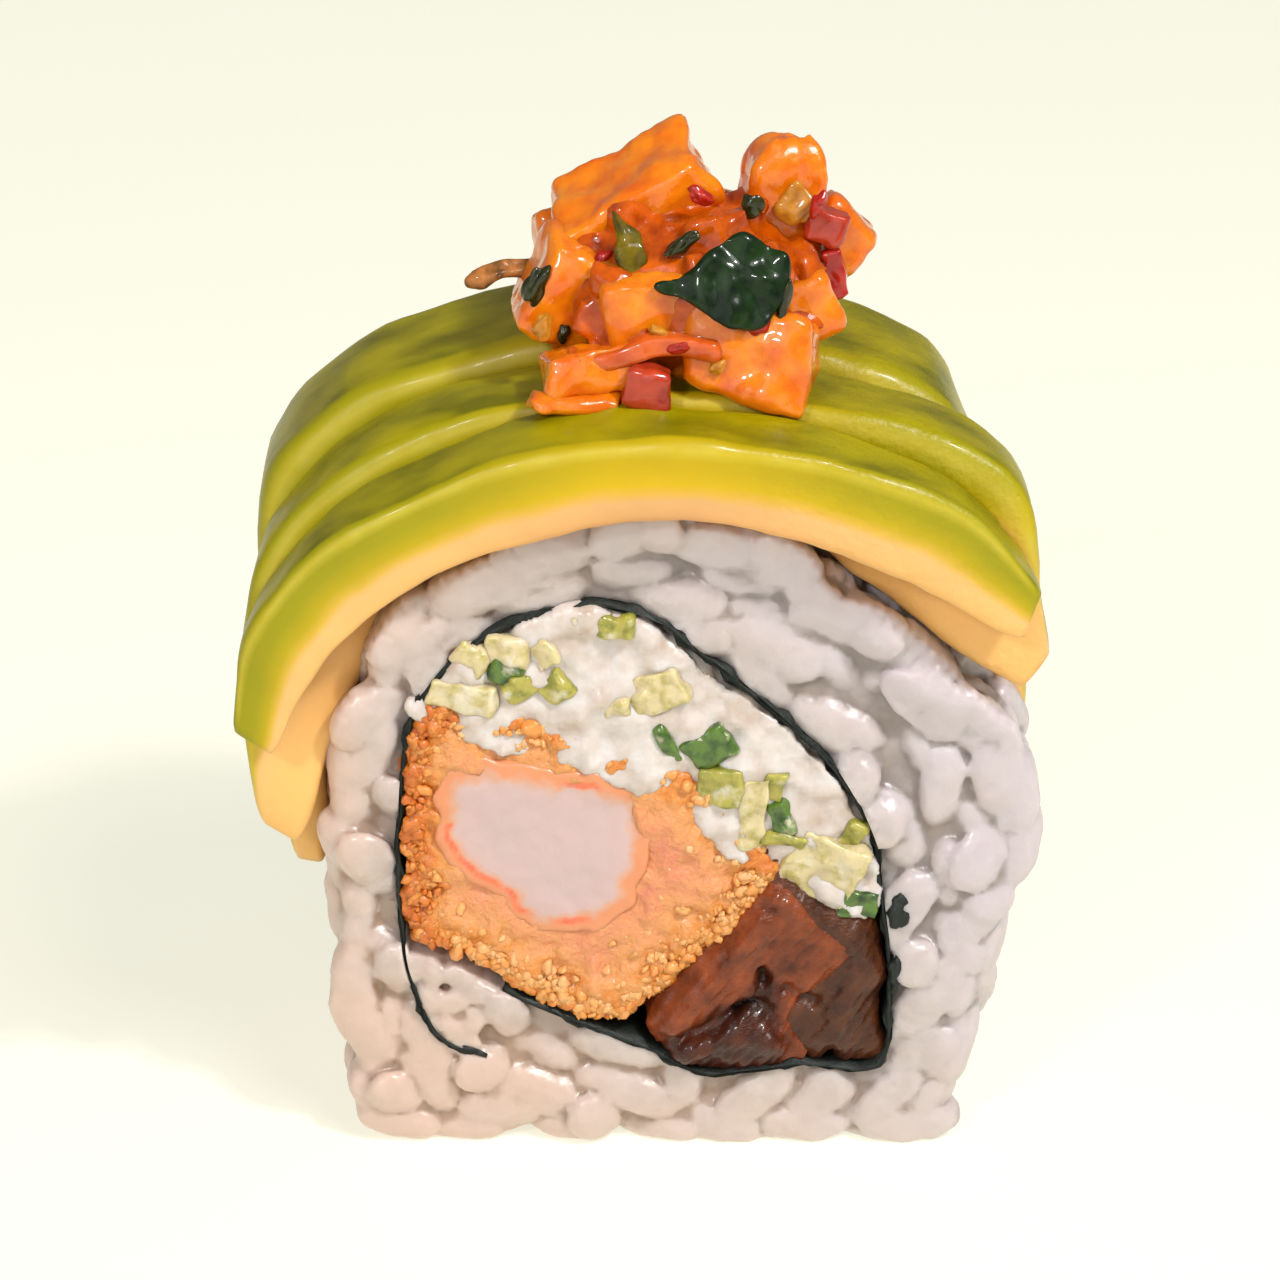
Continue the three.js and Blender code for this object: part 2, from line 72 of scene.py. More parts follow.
def clamp(value: float) -> float:
    """Value held between 0 and 1."""
    return max(0.0, min(1.0, value))


class SmoothLine:
    """Smooth curve through pairs of X and Z."""

    def __init__(self, pairs: Sequence[Pair], closed: bool = False) -> None:
        """Keeps the pairs.

        Args:
            pairs: X and Z of each point, in millimetres.
            closed: whether the last point joins the first.
        """
        self.points = [Vector((x, 0.0, z)) for x, z in pairs]
        self.closed = closed
        self.spans = len(pairs) if closed else len(pairs) - 1

    def _point(self, index: int) -> Vector:
        """Point of that number, wrapped round or held at the ends."""
        if self.closed:
            return self.points[index % len(self.points)]
        return self.points[max(0, min(index, len(self.points) - 1))]

    def at(self, share: float) -> Vector:
        """Place on the curve.

        Args:
            share: 0 at the start and 1 at the end, with the same step for each span.

        Returns:
            The point, with Y at 0.
        """
        place = share * self.spans
        span = min(int(math.floor(place)), self.spans - 1)
        t = place - span
        a, b, c, d = (self._point(span + step) for step in (-1, 0, 1, 2))
        return 0.5 * (2 * b + (c - a) * t + (2 * a - 5 * b + 4 * c - d) * t * t
                      + (3 * b - a - 3 * c + d) * t ** 3)

    def sampled(self, count: int) -> list[Vector]:
        """That many points along the curve, evenly spaced in its length."""
        fine = [self.at(step / 400) for step in range(401)]
        reach = np.cumsum([0.0] + [(b - a).length for a, b in zip(fine, fine[1:])])
        stops = np.linspace(0.0, reach[-1], count + 1 if self.closed else count)
        xs = np.interp(stops, reach, [p.x for p in fine])
        zs = np.interp(stops, reach, [p.z for p in fine])
        points = [Vector((x, 0.0, z)) for x, z in zip(xs, zs)]
        return points[:-1] if self.closed else points


def closed_line(pairs: Sequence[Pair], count: int) -> list[Vector]:
    """That many points, evenly spaced on a smooth closed line through pairs of X and Z."""
    return SmoothLine(pairs, closed=True).sampled(count)


def area(points: Sequence[Vector]) -> float:
    """Signed area of a closed outline in X and Z."""
    pairs = zip(points, list(points[1:]) + [points[0]])
    return 0.5 * sum(a.x * b.z - b.x * a.z for a, b in pairs)


def grown(points: Sequence[Vector], distance: float) -> list[Vector]:
    """Closed outline moved outwards by a distance, or inwards where that is negative."""
    side = math.copysign(1.0, area(points))
    moved = []
    for index, point in enumerate(points):
        along = (points[(index + 1) % len(points)] - points[index - 1]).normalized()
        moved.append(point + side * distance * Vector((along.z, 0.0, -along.x)))
    return moved


def inside(point: Vector, outline: Sequence[Vector]) -> bool:
    """Whether a point of X and Z lies inside a closed outline."""
    found = False
    for a, b in zip(outline, list(outline[1:]) + [outline[0]]):
        if (a.z > point.z) != (b.z > point.z):
            edge = a.x + (b.x - a.x) * (point.z - a.z) / (b.z - a.z)
            found = found != (point.x < edge)
    return found


def distance_to(point: Vector, outline: Sequence[Vector]) -> float:
    """Distance in X and Z from a point to the nearest corner of an outline."""
    return min(math.hypot(point.x - other.x, point.z - other.z) for other in outline)


def corners(mesh: bpy.types.Mesh) -> np.ndarray:
    """Places of a mesh's vertices, one in each row."""
    flat = np.empty(3 * len(mesh.vertices))
    mesh.vertices.foreach_get("co", flat)
    return flat.reshape(-1, 3)


def distances(places: np.ndarray, outline: Sequence[Vector]) -> np.ndarray:
    """Distance in X and Z from each place to the nearest corner of an outline."""
    best = np.full(len(places), 1e6)
    for point in outline:
        best = np.minimum(best, np.hypot(places[:, 0] - point.x, places[:, 2] - point.z))
    return best


def furrows(mesh: bpy.types.Mesh, rounds: int) -> np.ndarray:
    """How deep each vertex lies below what is round it.

    Args:
        mesh: the mesh.
        rounds: how many steps of smoothing away its surroundings reach.

    Returns:
        One depth for each vertex in millimetres, below 0 on a crest.
    """
    places = corners(mesh)
    ends = np.empty(2 * len(mesh.edges), dtype=np.int32)
    mesh.edges.foreach_get("vertices", ends)
    first, second = ends.reshape(-1, 2).T
    here, there = np.concatenate((first, second)), np.concatenate((second, first))
    count = np.maximum(1, np.bincount(here, minlength=len(places)))
    smooth = places
    for _ in range(rounds):
        around = [np.bincount(here, axis[there], len(places)) / count for axis in smooth.T]
        smooth = np.stack(around, axis=1)
    normals = np.empty(3 * len(mesh.vertices), dtype=np.float32)
    mesh.vertices.foreach_get("normal", normals)
    return np.sum((smooth - places) * normals.reshape(-1, 3), axis=1)


def soften(value: float, power: float) -> float:
    """Coordinate of a circle pushed out towards a square with round corners."""
    return math.copysign(abs(value) ** (2 / power), value)


def slab(outline: Sequence[Vector], front: float, back: float) -> bmesh.types.BMesh:
    """Outline run through the food along Y.

    Args:
        outline: closed outline in X and Z.
        front: Y of the cut face towards the viewer.
        back: Y of the other cut face.

    Returns:
        A closed mesh.
    """
    bm = bmesh.new()
    face = bm.faces.new([bm.verts.new((point.x, front, point.z)) for point in outline])
    run = bmesh.ops.extrude_face_region(bm, geom=[face])
    moved = [part for part in run["geom"] if isinstance(part, bmesh.types.BMVert)]
    bmesh.ops.translate(bm, vec=(0.0, back - front, 0.0), verts=moved)
    bmesh.ops.recalc_face_normals(bm, faces=bm.faces)
    return bm


def mesh_of(bm: bmesh.types.BMesh, name: str) -> bpy.types.Mesh:
    """Mesh data from a bmesh, which is freed."""
    mesh = bpy.data.meshes.new(name)
    bm.to_mesh(mesh)
    bm.free()
    return mesh


def added(name: str, data: bpy.types.ID) -> bpy.types.Object:
    """New object of the scene that shows some data."""
    made = bpy.data.objects.new(name, data)
    bpy.context.scene.collection.objects.link(made)
    return made


def absorb(bm: bmesh.types.BMesh, mesh: bpy.types.Mesh) -> None:
    """Adds a mesh to a bmesh and removes the mesh."""
    bm.from_mesh(mesh)
    bpy.data.meshes.remove(mesh)


def stood(bm: bmesh.types.BMesh, matrix: Matrix) -> bmesh.types.BMesh:
    """Mesh moved into its place."""
    bmesh.ops.transform(bm, matrix=matrix, verts=bm.verts)
    return bm


def evaluated(mesh: bpy.types.Mesh, prepare: Callable[[bpy.types.Object], None]) -> bmesh.types.BMesh:
    """Mesh with modifiers applied.

    Args:
        mesh: the mesh to start from, which is removed.
        prepare: adds the modifiers to a scratch object.

    Returns:
        The finished mesh as a bmesh.
    """
    scratch = added("scratch", mesh)
    prepare(scratch)
    graph = bpy.context.evaluated_depsgraph_get()
    bm = bmesh.new()
    bm.from_mesh(scratch.evaluated_get(graph).data)
    bpy.data.objects.remove(scratch)
    bpy.data.meshes.remove(mesh)
    return bm


def remeshed(bm: bmesh.types.BMesh, voxel: float, smooth: int = 2) -> bmesh.types.BMesh:
    """Even mesh of small faces over a closed shape, with its edges rounded.

    Args:
        bm: the shape, in millimetres.
        voxel: size of the faces in millimetres.
        smooth: how many times the corners are smoothed.

    Returns:
        The new mesh.
    """
    def prepare(scratch: bpy.types.Object) -> None:
        """Adds the remesh."""
        modifier = scratch.modifiers.new("Even", "REMESH")
        modifier.mode = "VOXEL"
        modifier.voxel_size = voxel

    fine = evaluated(mesh_of(bm, "scratch"), prepare)
    for _ in range(smooth):
        bmesh.ops.smooth_vert(fine, verts=fine.verts, factor=0.5, use_axis_x=True, use_axis_y=True,
                              use_axis_z=True)
    return fine


def thinned(bm: bmesh.types.BMesh, share: float) -> bmesh.types.BMesh:
    """Mesh with only a share of its triangles, the most where it is most curved."""
    def prepare(scratch: bpy.types.Object) -> None:
        """Adds the thinning."""
        modifier = scratch.modifiers.new("Thin", "DECIMATE")
        modifier.ratio = share

    return evaluated(mesh_of(bm, "scratch"), prepare)


def without(bm: bmesh.types.BMesh, cut: bmesh.types.BMesh) -> bmesh.types.BMesh:
    """The first shape less the second."""
    cutter = added("cutter", mesh_of(cut, "cutter"))

    def prepare(scratch: bpy.types.Object) -> None:
        """Adds the cut."""
        modifier = scratch.modifiers.new("Cut", "BOOLEAN")
        modifier.operation = "DIFFERENCE"
        modifier.solver = "MANIFOLD"
        modifier.object = cutter

    result = evaluated(mesh_of(bm, "scratch"), prepare)
    data = cutter.data
    bpy.data.objects.remove(cutter)
    bpy.data.meshes.remove(data)
    return result


def ribbon(line: Sequence[Vector], half: Callable[[Vector], float],
           shift: Callable[[Vector], float] = lambda point: 0.0) -> list[Vector]:
    """Outline of a ribbon along an open line.

    Args:
        line: points of X and Z.
        half: half its thickness at a point.
        shift: how far it is pushed sideways at a point.

    Returns:
        A closed outline.
    """
    left, right = [], []
    last = len(line) - 1
    for index, point in enumerate(line):
        along = (line[min(index + 1, last)] - line[max(index - 1, 0)]).normalized()
        across = Vector((-along.z, 0.0, along.x))
        left.append(point + across * (shift(point) + half(point)))
        right.append(point + across * (shift(point) - half(point)))
    return left + right[::-1]


def reshape(bm: bmesh.types.BMesh, rule: Rule) -> bmesh.types.BMesh:
    """Moves every vertex of a mesh by a rule."""
    for vertex in bm.verts:
        vertex.co = rule(vertex.co)
    return bm


def roughen(bm: bmesh.types.BMesh, layers: Sequence[Pair], seed: float = 0.0) -> bmesh.types.BMesh:
    """Pushes the surface in and out along its normals.

    Args:
        bm: the mesh.
        layers: size of the bumps and their height, in millimetres, for each layer.
        seed: shifts the pattern, so that no two pieces are alike.

    Returns:
        The same mesh.
    """
    bm.normal_update()
    shift = Vector((seed * 7.3, seed * 3.1, seed * 5.7))
    moves = []
    for vertex in bm.verts:
        push = sum(height * noise.noise((vertex.co + shift) / size) for size, height in layers)
        moves.append(vertex.normal * push)
    for vertex, move in zip(bm.verts, moves):
        vertex.co += move
    return bm


def cut_block(half: Sequence[float], seed: float, round_by: float, voxel: float) -> bmesh.types.BMesh:
    """Block cut by hand: flat faces that aren't quite square, with slightly rounded edges.

    Args:
        half: half its width, depth and height in millimetres.
        seed: start of the random numbers.
        round_by: width of its rounded edges.
        voxel: size of its faces.

    Returns:
        The mesh, with its middle at the origin.
    """
    draws = random.Random(seed)
    bm = bmesh.new()
    bmesh.ops.create_cube(bm, size=2.0)
    for vertex in bm.verts:
        vertex.co = Vector(c * h * (1 + draws.uniform(-0.24, 0.14)) for c, h in zip(vertex.co, half))
    bmesh.ops.bevel(bm, geom=bm.edges, offset=round_by, offset_type="OFFSET", segments=3, profile=0.5,
                    affect="EDGES", material=-1)
    return roughen(remeshed(bm, voxel, 1), [(2.2, 0.3), (0.8, 0.1)], seed)


def turned(degrees: Sequence[float]) -> Matrix:
    """Turn about X, then Y, then Z, in degrees."""
    return Euler([math.radians(value) for value in degrees], "XYZ").to_matrix().to_4x4()


def piece_from(mesh: bpy.types.Mesh, name: str, material: bpy.types.Material,
               nodes: Sequence[str] = ()) -> bpy.types.Object:
    """Finished piece: moved into the shared frame, dressed and attached.

    Args:
        mesh: its mesh, in millimetres in the roll's own frame.
        name: name of the piece.
        material: its finish.
        nodes: solids that the piece stands for.

    Returns:
        The object.
    """
    mesh.transform(Matrix.Scale(MM, 4) @ Matrix.Translation(MIDDLE))
    mesh.shade_smooth()
    mesh.materials.append(material)
    mesh.name = name
    piece = added(name, mesh)
    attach(piece, BODY)
    if nodes:
        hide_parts(*nodes)
    mesh.calc_loop_triangles()
    LOG.info("%s: %d triangles", name, len(mesh.loop_triangles))
    return piece


def with_values(mesh: bpy.types.Mesh, name: str, values: Iterable[float]) -> bpy.types.Mesh:
    """Mesh with one number kept on each vertex under a name."""
    attribute = mesh.attributes.new(name, "FLOAT", "POINT")
    attribute.data.foreach_set("value", np.fromiter(values, float))
    return mesh


@dataclass
class Scatter:
    """Many small shapes joined into one mesh, each a copy of one of a few base shapes."""

    bases: list[bpy.types.Mesh]
    places: list[tuple[int, Matrix, float]] = field(default_factory=list)

    def add(self, base: int, matrix: Matrix, tone: float) -> None:
        """Adds a copy of a base shape at a place, with its own tone."""
        self.places.append((base, matrix, tone))

    def mesh(self, name: str, rule: Rule | None = None) -> bpy.types.Mesh:
        """Joins the copies.

        Args:
            name: name of the mesh.
            rule: moves each vertex once it is in place, where given.

        Returns:
            One mesh with a tone on each vertex.
        """
        shapes = []
        for base in self.bases:
            points = np.array([vertex.co[:] for vertex in base.vertices])
            shapes.append((points, [tuple(face.vertices) for face in base.polygons]))
        blocks, faces, tones = [], [], []
        for base, matrix, tone in self.places:
            points, polygons = shapes[base]
            turn = np.array(matrix.to_3x3())
            start = len(tones)
            blocks.append(points @ turn.T + np.array(matrix.translation))
            faces.extend(tuple(start + index for index in polygon) for polygon in polygons)
            tones.extend([tone] * len(points))
        placed = np.concatenate(blocks)
        if rule:
            placed = np.array([rule(Vector(point))[:] for point in placed])
        mesh = bpy.data.meshes.new(name)
        mesh.from_pydata(placed.tolist(), [], faces)
        for base in self.bases:
            bpy.data.meshes.remove(base)
        return with_values(mesh, "tone", tones)


def effect(name: str, takes: Sequence[tuple[str, str]], gives: tuple[str, str]) -> bpy.types.NodeTree:
    """Starts a node group for an effect that several materials share.

    Args:
        name: its name.
        takes: name and kind of each value that it takes.
        gives: name and kind of what it gives.

    Returns:
        The group, with its own input and output nodes.
    """
    group = bpy.data.node_groups.new(name, "ShaderNodeTree")
    for label, kind in takes:
        group.interface.new_socket(name=label, in_out="INPUT", socket_type=f"NodeSocket{kind}")
    group.interface.new_socket(name=gives[0], in_out="OUTPUT", socket_type=f"NodeSocket{gives[1]}")
    group.nodes.new("NodeGroupInput")
    group.nodes.new("NodeGroupOutput")
    return group


@cache
def blotches() -> bpy.types.NodeTree:
    """Effect of a soft random pattern, with the size of its blotches in millimetres."""
    group = effect("blotches", [("Size", "Float"), ("Detail", "Float"), ("Stretch", "Vector")],
                   ("Value", "Float"))
    taken, given = group.nodes["Group Input"], group.nodes["Group Output"]
    place = group.nodes.new("ShaderNodeTexCoord")
    mapping = group.nodes.new("ShaderNodeMapping")
    scale = group.nodes.new("ShaderNodeMath")
    scale.operation = "DIVIDE"
    scale.inputs[0].default_value = 1 / MM
    pattern = group.nodes.new("ShaderNodeTexNoise")
    group.links.new(place.outputs["Object"], mapping.inputs["Vector"])
    group.links.new(taken.outputs["Stretch"], mapping.inputs["Scale"])
    group.links.new(taken.outputs["Size"], scale.inputs[1])
    group.links.new(mapping.outputs["Vector"], pattern.inputs["Vector"])
    group.links.new(scale.outputs[0], pattern.inputs["Scale"])
    group.links.new(taken.outputs["Detail"], pattern.inputs["Detail"])
    group.links.new(pattern.outputs["Fac"], given.inputs["Value"])
    return group


@cache
def relief() -> bpy.types.NodeTree:
    """Effect of fine relief, with its depth in millimetres."""
    group = effect("relief", [("Height", "Float"), ("Depth", "Float")], ("Normal", "Vector"))
    taken, given = group.nodes["Group Input"], group.nodes["Group Output"]
    depth = group.nodes.new("ShaderNodeMath")
    depth.operation = "MULTIPLY"
    depth.inputs[1].default_value = MM
    bump = group.nodes.new("ShaderNodeBump")
    bump.inputs["Strength"].default_value = 1.0
    group.links.new(taken.outputs["Depth"], depth.inputs[0])
    group.links.new(depth.outputs[0], bump.inputs["Distance"])
    group.links.new(taken.outputs["Height"], bump.inputs["Height"])
    group.links.new(bump.outputs["Normal"], given.inputs["Normal"])
    return group


class Graph:
    """Node tree of one material, with a Principled shader at its end."""

    def __init__(self, name: str) -> None:
        """Starts an empty tree with its shader and output."""
        self.material = bpy.data.materials.new(name)
        self.material.use_nodes = True
        self.tree = self.material.node_tree
        self.tree.nodes.clear()
        self.shader = self.tree.nodes.new("ShaderNodeBsdfPrincipled")
        output = self.tree.nodes.new("ShaderNodeOutputMaterial")
        self.link(self.shader.outputs["BSDF"], output.inputs["Surface"])

    def node(self, kind: str, **settings: object) -> bpy.types.Node:
        """New node with its properties set."""
        made = self.tree.nodes.new(kind)
        for key, value in settings.items():
            setattr(made, key, value)
        return made

    def link(self, source: bpy.types.NodeSocket, target: bpy.types.NodeSocket) -> None:
        """Joins two sockets."""
        self.tree.links.new(source, target)

    def attribute(self, name: str) -> bpy.types.NodeSocket:
        """Number kept on the vertices under that name."""
        return self.node("ShaderNodeAttribute", attribute_name=name).outputs["Fac"]

    def noise(self, size: float, detail: float = 3.0,
              stretch: Sequence[float] = (1, 1, 1)) -> bpy.types.NodeSocket:
        """Soft random pattern.

        Args:
            size: size of its blotches in millimetres.
            detail: how many finer layers it has.
            stretch: how much each axis is squeezed.

        Returns:
            A value from 0 to 1.
        """
        pattern = self.node("ShaderNodeGroup", node_tree=blotches())
        pattern.inputs["Size"].default_value = size
        pattern.inputs["Detail"].default_value = detail
        pattern.inputs["Stretch"].default_value = stretch
        return pattern.outputs["Value"]

    def ramp(self, value: bpy.types.NodeSocket,
             stops: Sequence[tuple[float, Colour]]) -> bpy.types.NodeSocket:
        """Colours along a value.

        Args:
            value: the value.
            stops: where each colour stands, and the colour.

        Returns:
            The colour.
        """
        ramp = self.node("ShaderNodeValToRGB")
        elements = ramp.color_ramp.elements
        while len(elements) < len(stops):
            elements.new(0.5)
        for element, (place, colour) in zip(elements, stops):
            element.position = place
            element.color = (*colour, 1.0)
        self.link(value, ramp.inputs["Fac"])
        return ramp.outputs["Color"]

    def fade(self, value: bpy.types.NodeSocket, start: float, end: float,
             top: float = 1.0) -> bpy.types.NodeSocket:
        """Share that climbs from 0 to a top while a value goes from its start to its end."""
        return self.ramp(value, [(start, (0.0, 0.0, 0.0)), (end, (top, top, top))])

    def wander(self, size: float, detail: float, reach: float) -> bpy.types.NodeSocket:
        """Soft random pattern round 0.

        Args:
            size: size of its blotches in millimetres.
            detail: how many finer layers it has.
            reach: from its lowest value to its highest.

        Returns:
            The value.
        """
        return self.math("MULTIPLY", self.math("SUBTRACT", self.noise(size, detail), 0.5), reach)

    def mix(self, share: bpy.types.NodeSocket, low: bpy.types.NodeSocket,
            high: bpy.types.NodeSocket) -> bpy.types.NodeSocket:
        """Mix of two colours by a share."""
        mix = self.node("ShaderNodeMix", data_type="RGBA")
        self.link(share, mix.inputs["Factor"])
        self.link(low, mix.inputs[6])
        self.link(high, mix.inputs[7])
        return mix.outputs[2]

    def math(self, operation: str, first: bpy.types.NodeSocket, second: bpy.types.NodeSocket | float,
             clamp: bool = False) -> bpy.types.NodeSocket:
        """One step of arithmetic on values."""
        step = self.node("ShaderNodeMath", operation=operation, use_clamp=clamp)
        self.link(first, step.inputs[0])
        if isinstance(second, float):
            step.inputs[1].default_value = second
        else:
            self.link(second, step.inputs[1])
        return step.outputs[0]

    def colour(self, source: bpy.types.NodeSocket) -> None:
        """Sets the surface's colour."""
        self.link(source, self.shader.inputs["Base Color"])

    def bump(self, height: bpy.types.NodeSocket, depth: float) -> None:
        """Fine relief, with its depth in millimetres."""
        bump = self.node("ShaderNodeGroup", node_tree=relief())
        bump.inputs["Depth"].default_value = depth
        self.link(height, bump.inputs["Height"])
        self.link(bump.outputs["Normal"], self.shader.inputs["Normal"])

    def set(self, **values: object) -> None:
        """Sets sockets of the shader, by their names in small letters with _ for each space."""
        named = {socket.name.lower().replace(" ", "_"): socket for socket in self.shader.inputs}
        for key, value in values.items():
            named[key].default_value = value


@dataclass(frozen=True, kw_only=True)
class Wetness:
    """How food takes the light: its roughness, the light that sinks into it, and its wet coat."""

    roughness: float = 0.35
    sink: float = 0.3
    sink_depth: float = 1.0
    sink_tint: Colour = (1.0, 0.7, 0.5)
    coat: float = 0.3
    coat_roughness: float = 0.12
    shine: float = 0.5

    def dress(self, graph: Graph) -> None:
        """Sets the shader at the end of a tree."""
        graph.set(roughness=self.roughness, subsurface_weight=self.sink, subsurface_radius=self.sink_tint,
                  subsurface_scale=self.sink_depth * MM, coat_weight=self.coat,
                  coat_roughness=self.coat_roughness, specular_ior_level=self.shine)


@dataclass(frozen=True)
class MoistFood(Wetness):
    """Soft wet food in two colours, mixed by a blotchy pattern."""

    name: str
    dark: Colour
    light: Colour
    blotch: float = 1.5
    grain: float = 0.3
    relief: float = 0.05

    def graph(self) -> Graph:
        """Builds the tree.

        Returns:
            The tree, whose material can be used or finished further.
        """
        graph = Graph(self.name)
        graph.colour(graph.ramp(graph.noise(self.blotch), [(0.25, self.dark), (0.75, self.light)]))
        graph.bump(graph.noise(self.grain, 4.0), self.relief)
        self.dress(graph)
        return graph

    def material(self) -> bpy.types.Material:
        """The finished material."""
        return self.graph().material


class Face(Enum):
    """The two cut faces of the roll, with the direction that each looks in Y."""

    FRONT = -1
    BACK = 1

    def plane(self, front: float, back: float) -> float:
        """This one of the two places in Y that the cut faces have."""
        return front if self is Face.FRONT else back


@dataclass
class RiceRoll:
    """Outer rice: sticky grains fused into one mass, with whole grains pressed into its surface.

    Each of its layers of grains has a depth below the surface, and how closely the grains lie. Each
    grain of the pocket, where the ends of the nori pass, has its X, Z, turn in degrees and size.
    """

    front: float = -12.0
    back: float = 11.0
    grain_length: float = 7.0
    grain_width: float = 3.4
    grain_thickness: float = 3.0
    skin: float = 1.1
    voxel: float = 0.26
    layers: tuple[Pair, ...] = ((1.1, 0.92), (1.8, 0.66))
    face_tries: int = 3200
    wall_tries: int = 6500
    under_avocado: float = 0.55
    under_overhang: float = 1.3
    smear_depth: float = 2.5
    seed: int = 11
    outline: tuple[Pair, ...] = (
        (-18.8, 0), (-20.8, 5), (-21.6, 15), (-21.9, 24), (-20.7, 30.6), (-18.6, 36.2), (-15.9, 40.4),
        (-11, 43.6), (-5.5, 45.9), (0, 47.3), (4.5, 46.6), (8.5, 45.1), (12.8, 41.4), (16.7, 38.5),
        (20.3, 34.8), (24.1, 31.4), (25.9, 26), (25.6, 21), (23.8, 16), (22.8, 10), (21.3, 4), (19.9, 0),
    )
    pocket: Vector = field(default_factory=lambda: Vector((-13.0, 0.0, 11.4)))
    pocket_reach: float = 2.9
    pocket_grains: tuple[tuple[float, float, float, float], ...] = (
        (-14.8, 13.4, -60, 0.42), (-13.0, 13.0, -20, 0.46), (-15.2, 11.2, -80, 0.4), (-13.4, 11.0, 35, 0.44),
        (-11.4, 11.6, -30, 0.46), (-13.6, 9.0, -50, 0.42), (-11.9, 9.6, 70, 0.4), (-12.6, 7.8, 20, 0.36),
        (-10.2, 10.4, -15, 0.42),
    )

    def __post_init__(self) -> None:
        """Keeps the outline as many points, with a straight bottom."""
        left, right = self.outline[0][0], self.outline[-1][0]
        bottom = [Vector((right + (left - right) * step / 40, 0.0, 0.0)) for step in range(1, 40)]
        self.ring = SmoothLine(self.outline).sampled(130) + bottom

    def base_grain(self, bend: float, plump: float) -> bpy.types.Mesh:
        """One cooked grain: a long rounded seed, slightly bent and fuller at one end."""
        bm = bmesh.new()
        bmesh.ops.create_uvsphere(bm, u_segments=14, v_segments=12, radius=1.0)

        def rule(co: Vector) -> Vector:
            """Stretches the ball into a grain along X."""
            along = co.z
            lumps = 0.12 * noise.noise(co + Vector((0, 0, 9 * bend)))
            width = 1.0 + plump * along - 0.1 * along * along + lumps
            x = soften(along, 3.2) * self.grain_length / 2
            return Vector((x, co.y * width * self.grain_width / 2,
                           co.x * width * self.grain_thickness / 2 + bend * (1 - along * along)))

        return mesh_of(reshape(bm, rule), "grain")

    def packed(self, tries: int, propose: Callable[[], tuple[Pair, float] | None],
               close: float) -> list[tuple[Pair, float]]:
        """Places grains on a flat sheet so that they lie side by side.

        Args:
            tries: how many places are tried.
            propose: gives a place and an angle, or nothing where a grain can't lie.
            close: 1 where grains just touch, less where they overlap.

        Returns:
            Places and angles.
        """
        kept: list[tuple[Pair, float]] = []
        for _ in range(tries):
            offer = propose()
            if offer is None:
                continue
            (x, z), angle = offer
            if all(self.apart(x - ox, z - oz, angle, other) > close for (ox, oz), other in kept):
                kept.append(((x, z), angle))
        return kept

    def apart(self, dx: float, dz: float, angle: float, other: float) -> float:
        """How far apart two grains lie, where 1 means that they just touch."""
        if abs(dx) > self.grain_length or abs(dz) > self.grain_length:
            return 2.0
        along = dx * math.cos(other) + dz * math.sin(other)
        across = -dx * math.sin(other) + dz * math.cos(other)
        lean = abs(math.sin(angle - other))
        reach = self.grain_width * (1 + 0.5 * lean)
        return math.hypot(along / self.grain_length, across / reach)

    def face_grains(self, scatter: Scatter, zone: Sequence[Vector], draws: random.Random, sunk: float,
                    close: float) -> None:
        """Adds one layer of grains on both cut faces.

        Args:
            scatter: takes the grains.
            zone: outline of the filling and its nori, which stays free.
            draws: source of the random numbers.
            sunk: depth of the grains' middles below the cut.
            close: how closely they lie.
        """
        rim = grown(self.ring, -1.3)

        def propose() -> tuple[Pair, float] | None:
            """Place in the ring of rice, mostly turned along it."""
            point = Vector((draws.uniform(-22, 26), 0.0, draws.uniform(0.8, 47)))
            if not inside(point, rim) or inside(point, zone) or distance_to(point, zone) < 0.7:
                return None
            angle = math.atan2(point.z - 22, point.x) + math.pi / 2 + draws.gauss(0, 0.5)
            reach = 0.4 * self.grain_length * Vector((math.cos(angle), 0.0, math.sin(angle)))
            tips = (point + reach, point, point - reach)
            if not all(inside(tip, self.ring) for tip in tips):
                return None
            if any((tip - self.pocket).length < self.pocket_reach for tip in tips):
                return None
            return (point.x, point.z), angle

        for face in Face:
            plane = face.plane(self.front, self.back)
            for (x, z), angle in self.packed(self.face_tries, propose, close):
                depth = plane - face.value * (sunk + draws.uniform(-0.25, 0.3))
                tip = draws.uniform(-14, 14) if draws.random() < 0.86 else draws.uniform(35, 70)
                lie = turned((90, 0, 0)) @ turned((0, tip, 0))
                spin = turned((0, -math.degrees(angle), 0))
                place = Matrix.Translation((x, depth, z)) @ spin @ lie
                size = Matrix.Scale(draws.uniform(0.84, 1.12), 4)
                scatter.add(draws.randrange(len(scatter.bases)), place @ size, draws.random())

    def wall_grains(self, scatter: Scatter, draws: random.Random, sunk: float, close: float) -> None:
        """Adds one layer of grains on the round wall and the flat bottom.

        Args:
            scatter: takes the grains.
            draws: source of the random numbers.
            sunk: depth of the grains' middles below the wall.
            close: how closely they lie.
        """
        line = self.ring
        step = sum((b - a).length for a, b in zip(line, line[1:] + line[:1])) / len(line)

        def propose() -> tuple[Pair, float]:
            """Place on the wall rolled out flat, turned along the outline beside the cuts."""
            y = draws.uniform(self.front + 1.4, self.back - 1.4)
            beside = min(y - self.front, self.back - y) < 4.5
            angle = draws.gauss(0, 0.3) if beside else draws.uniform(0, math.pi)
            return (draws.uniform(0, step * len(line)), y), angle

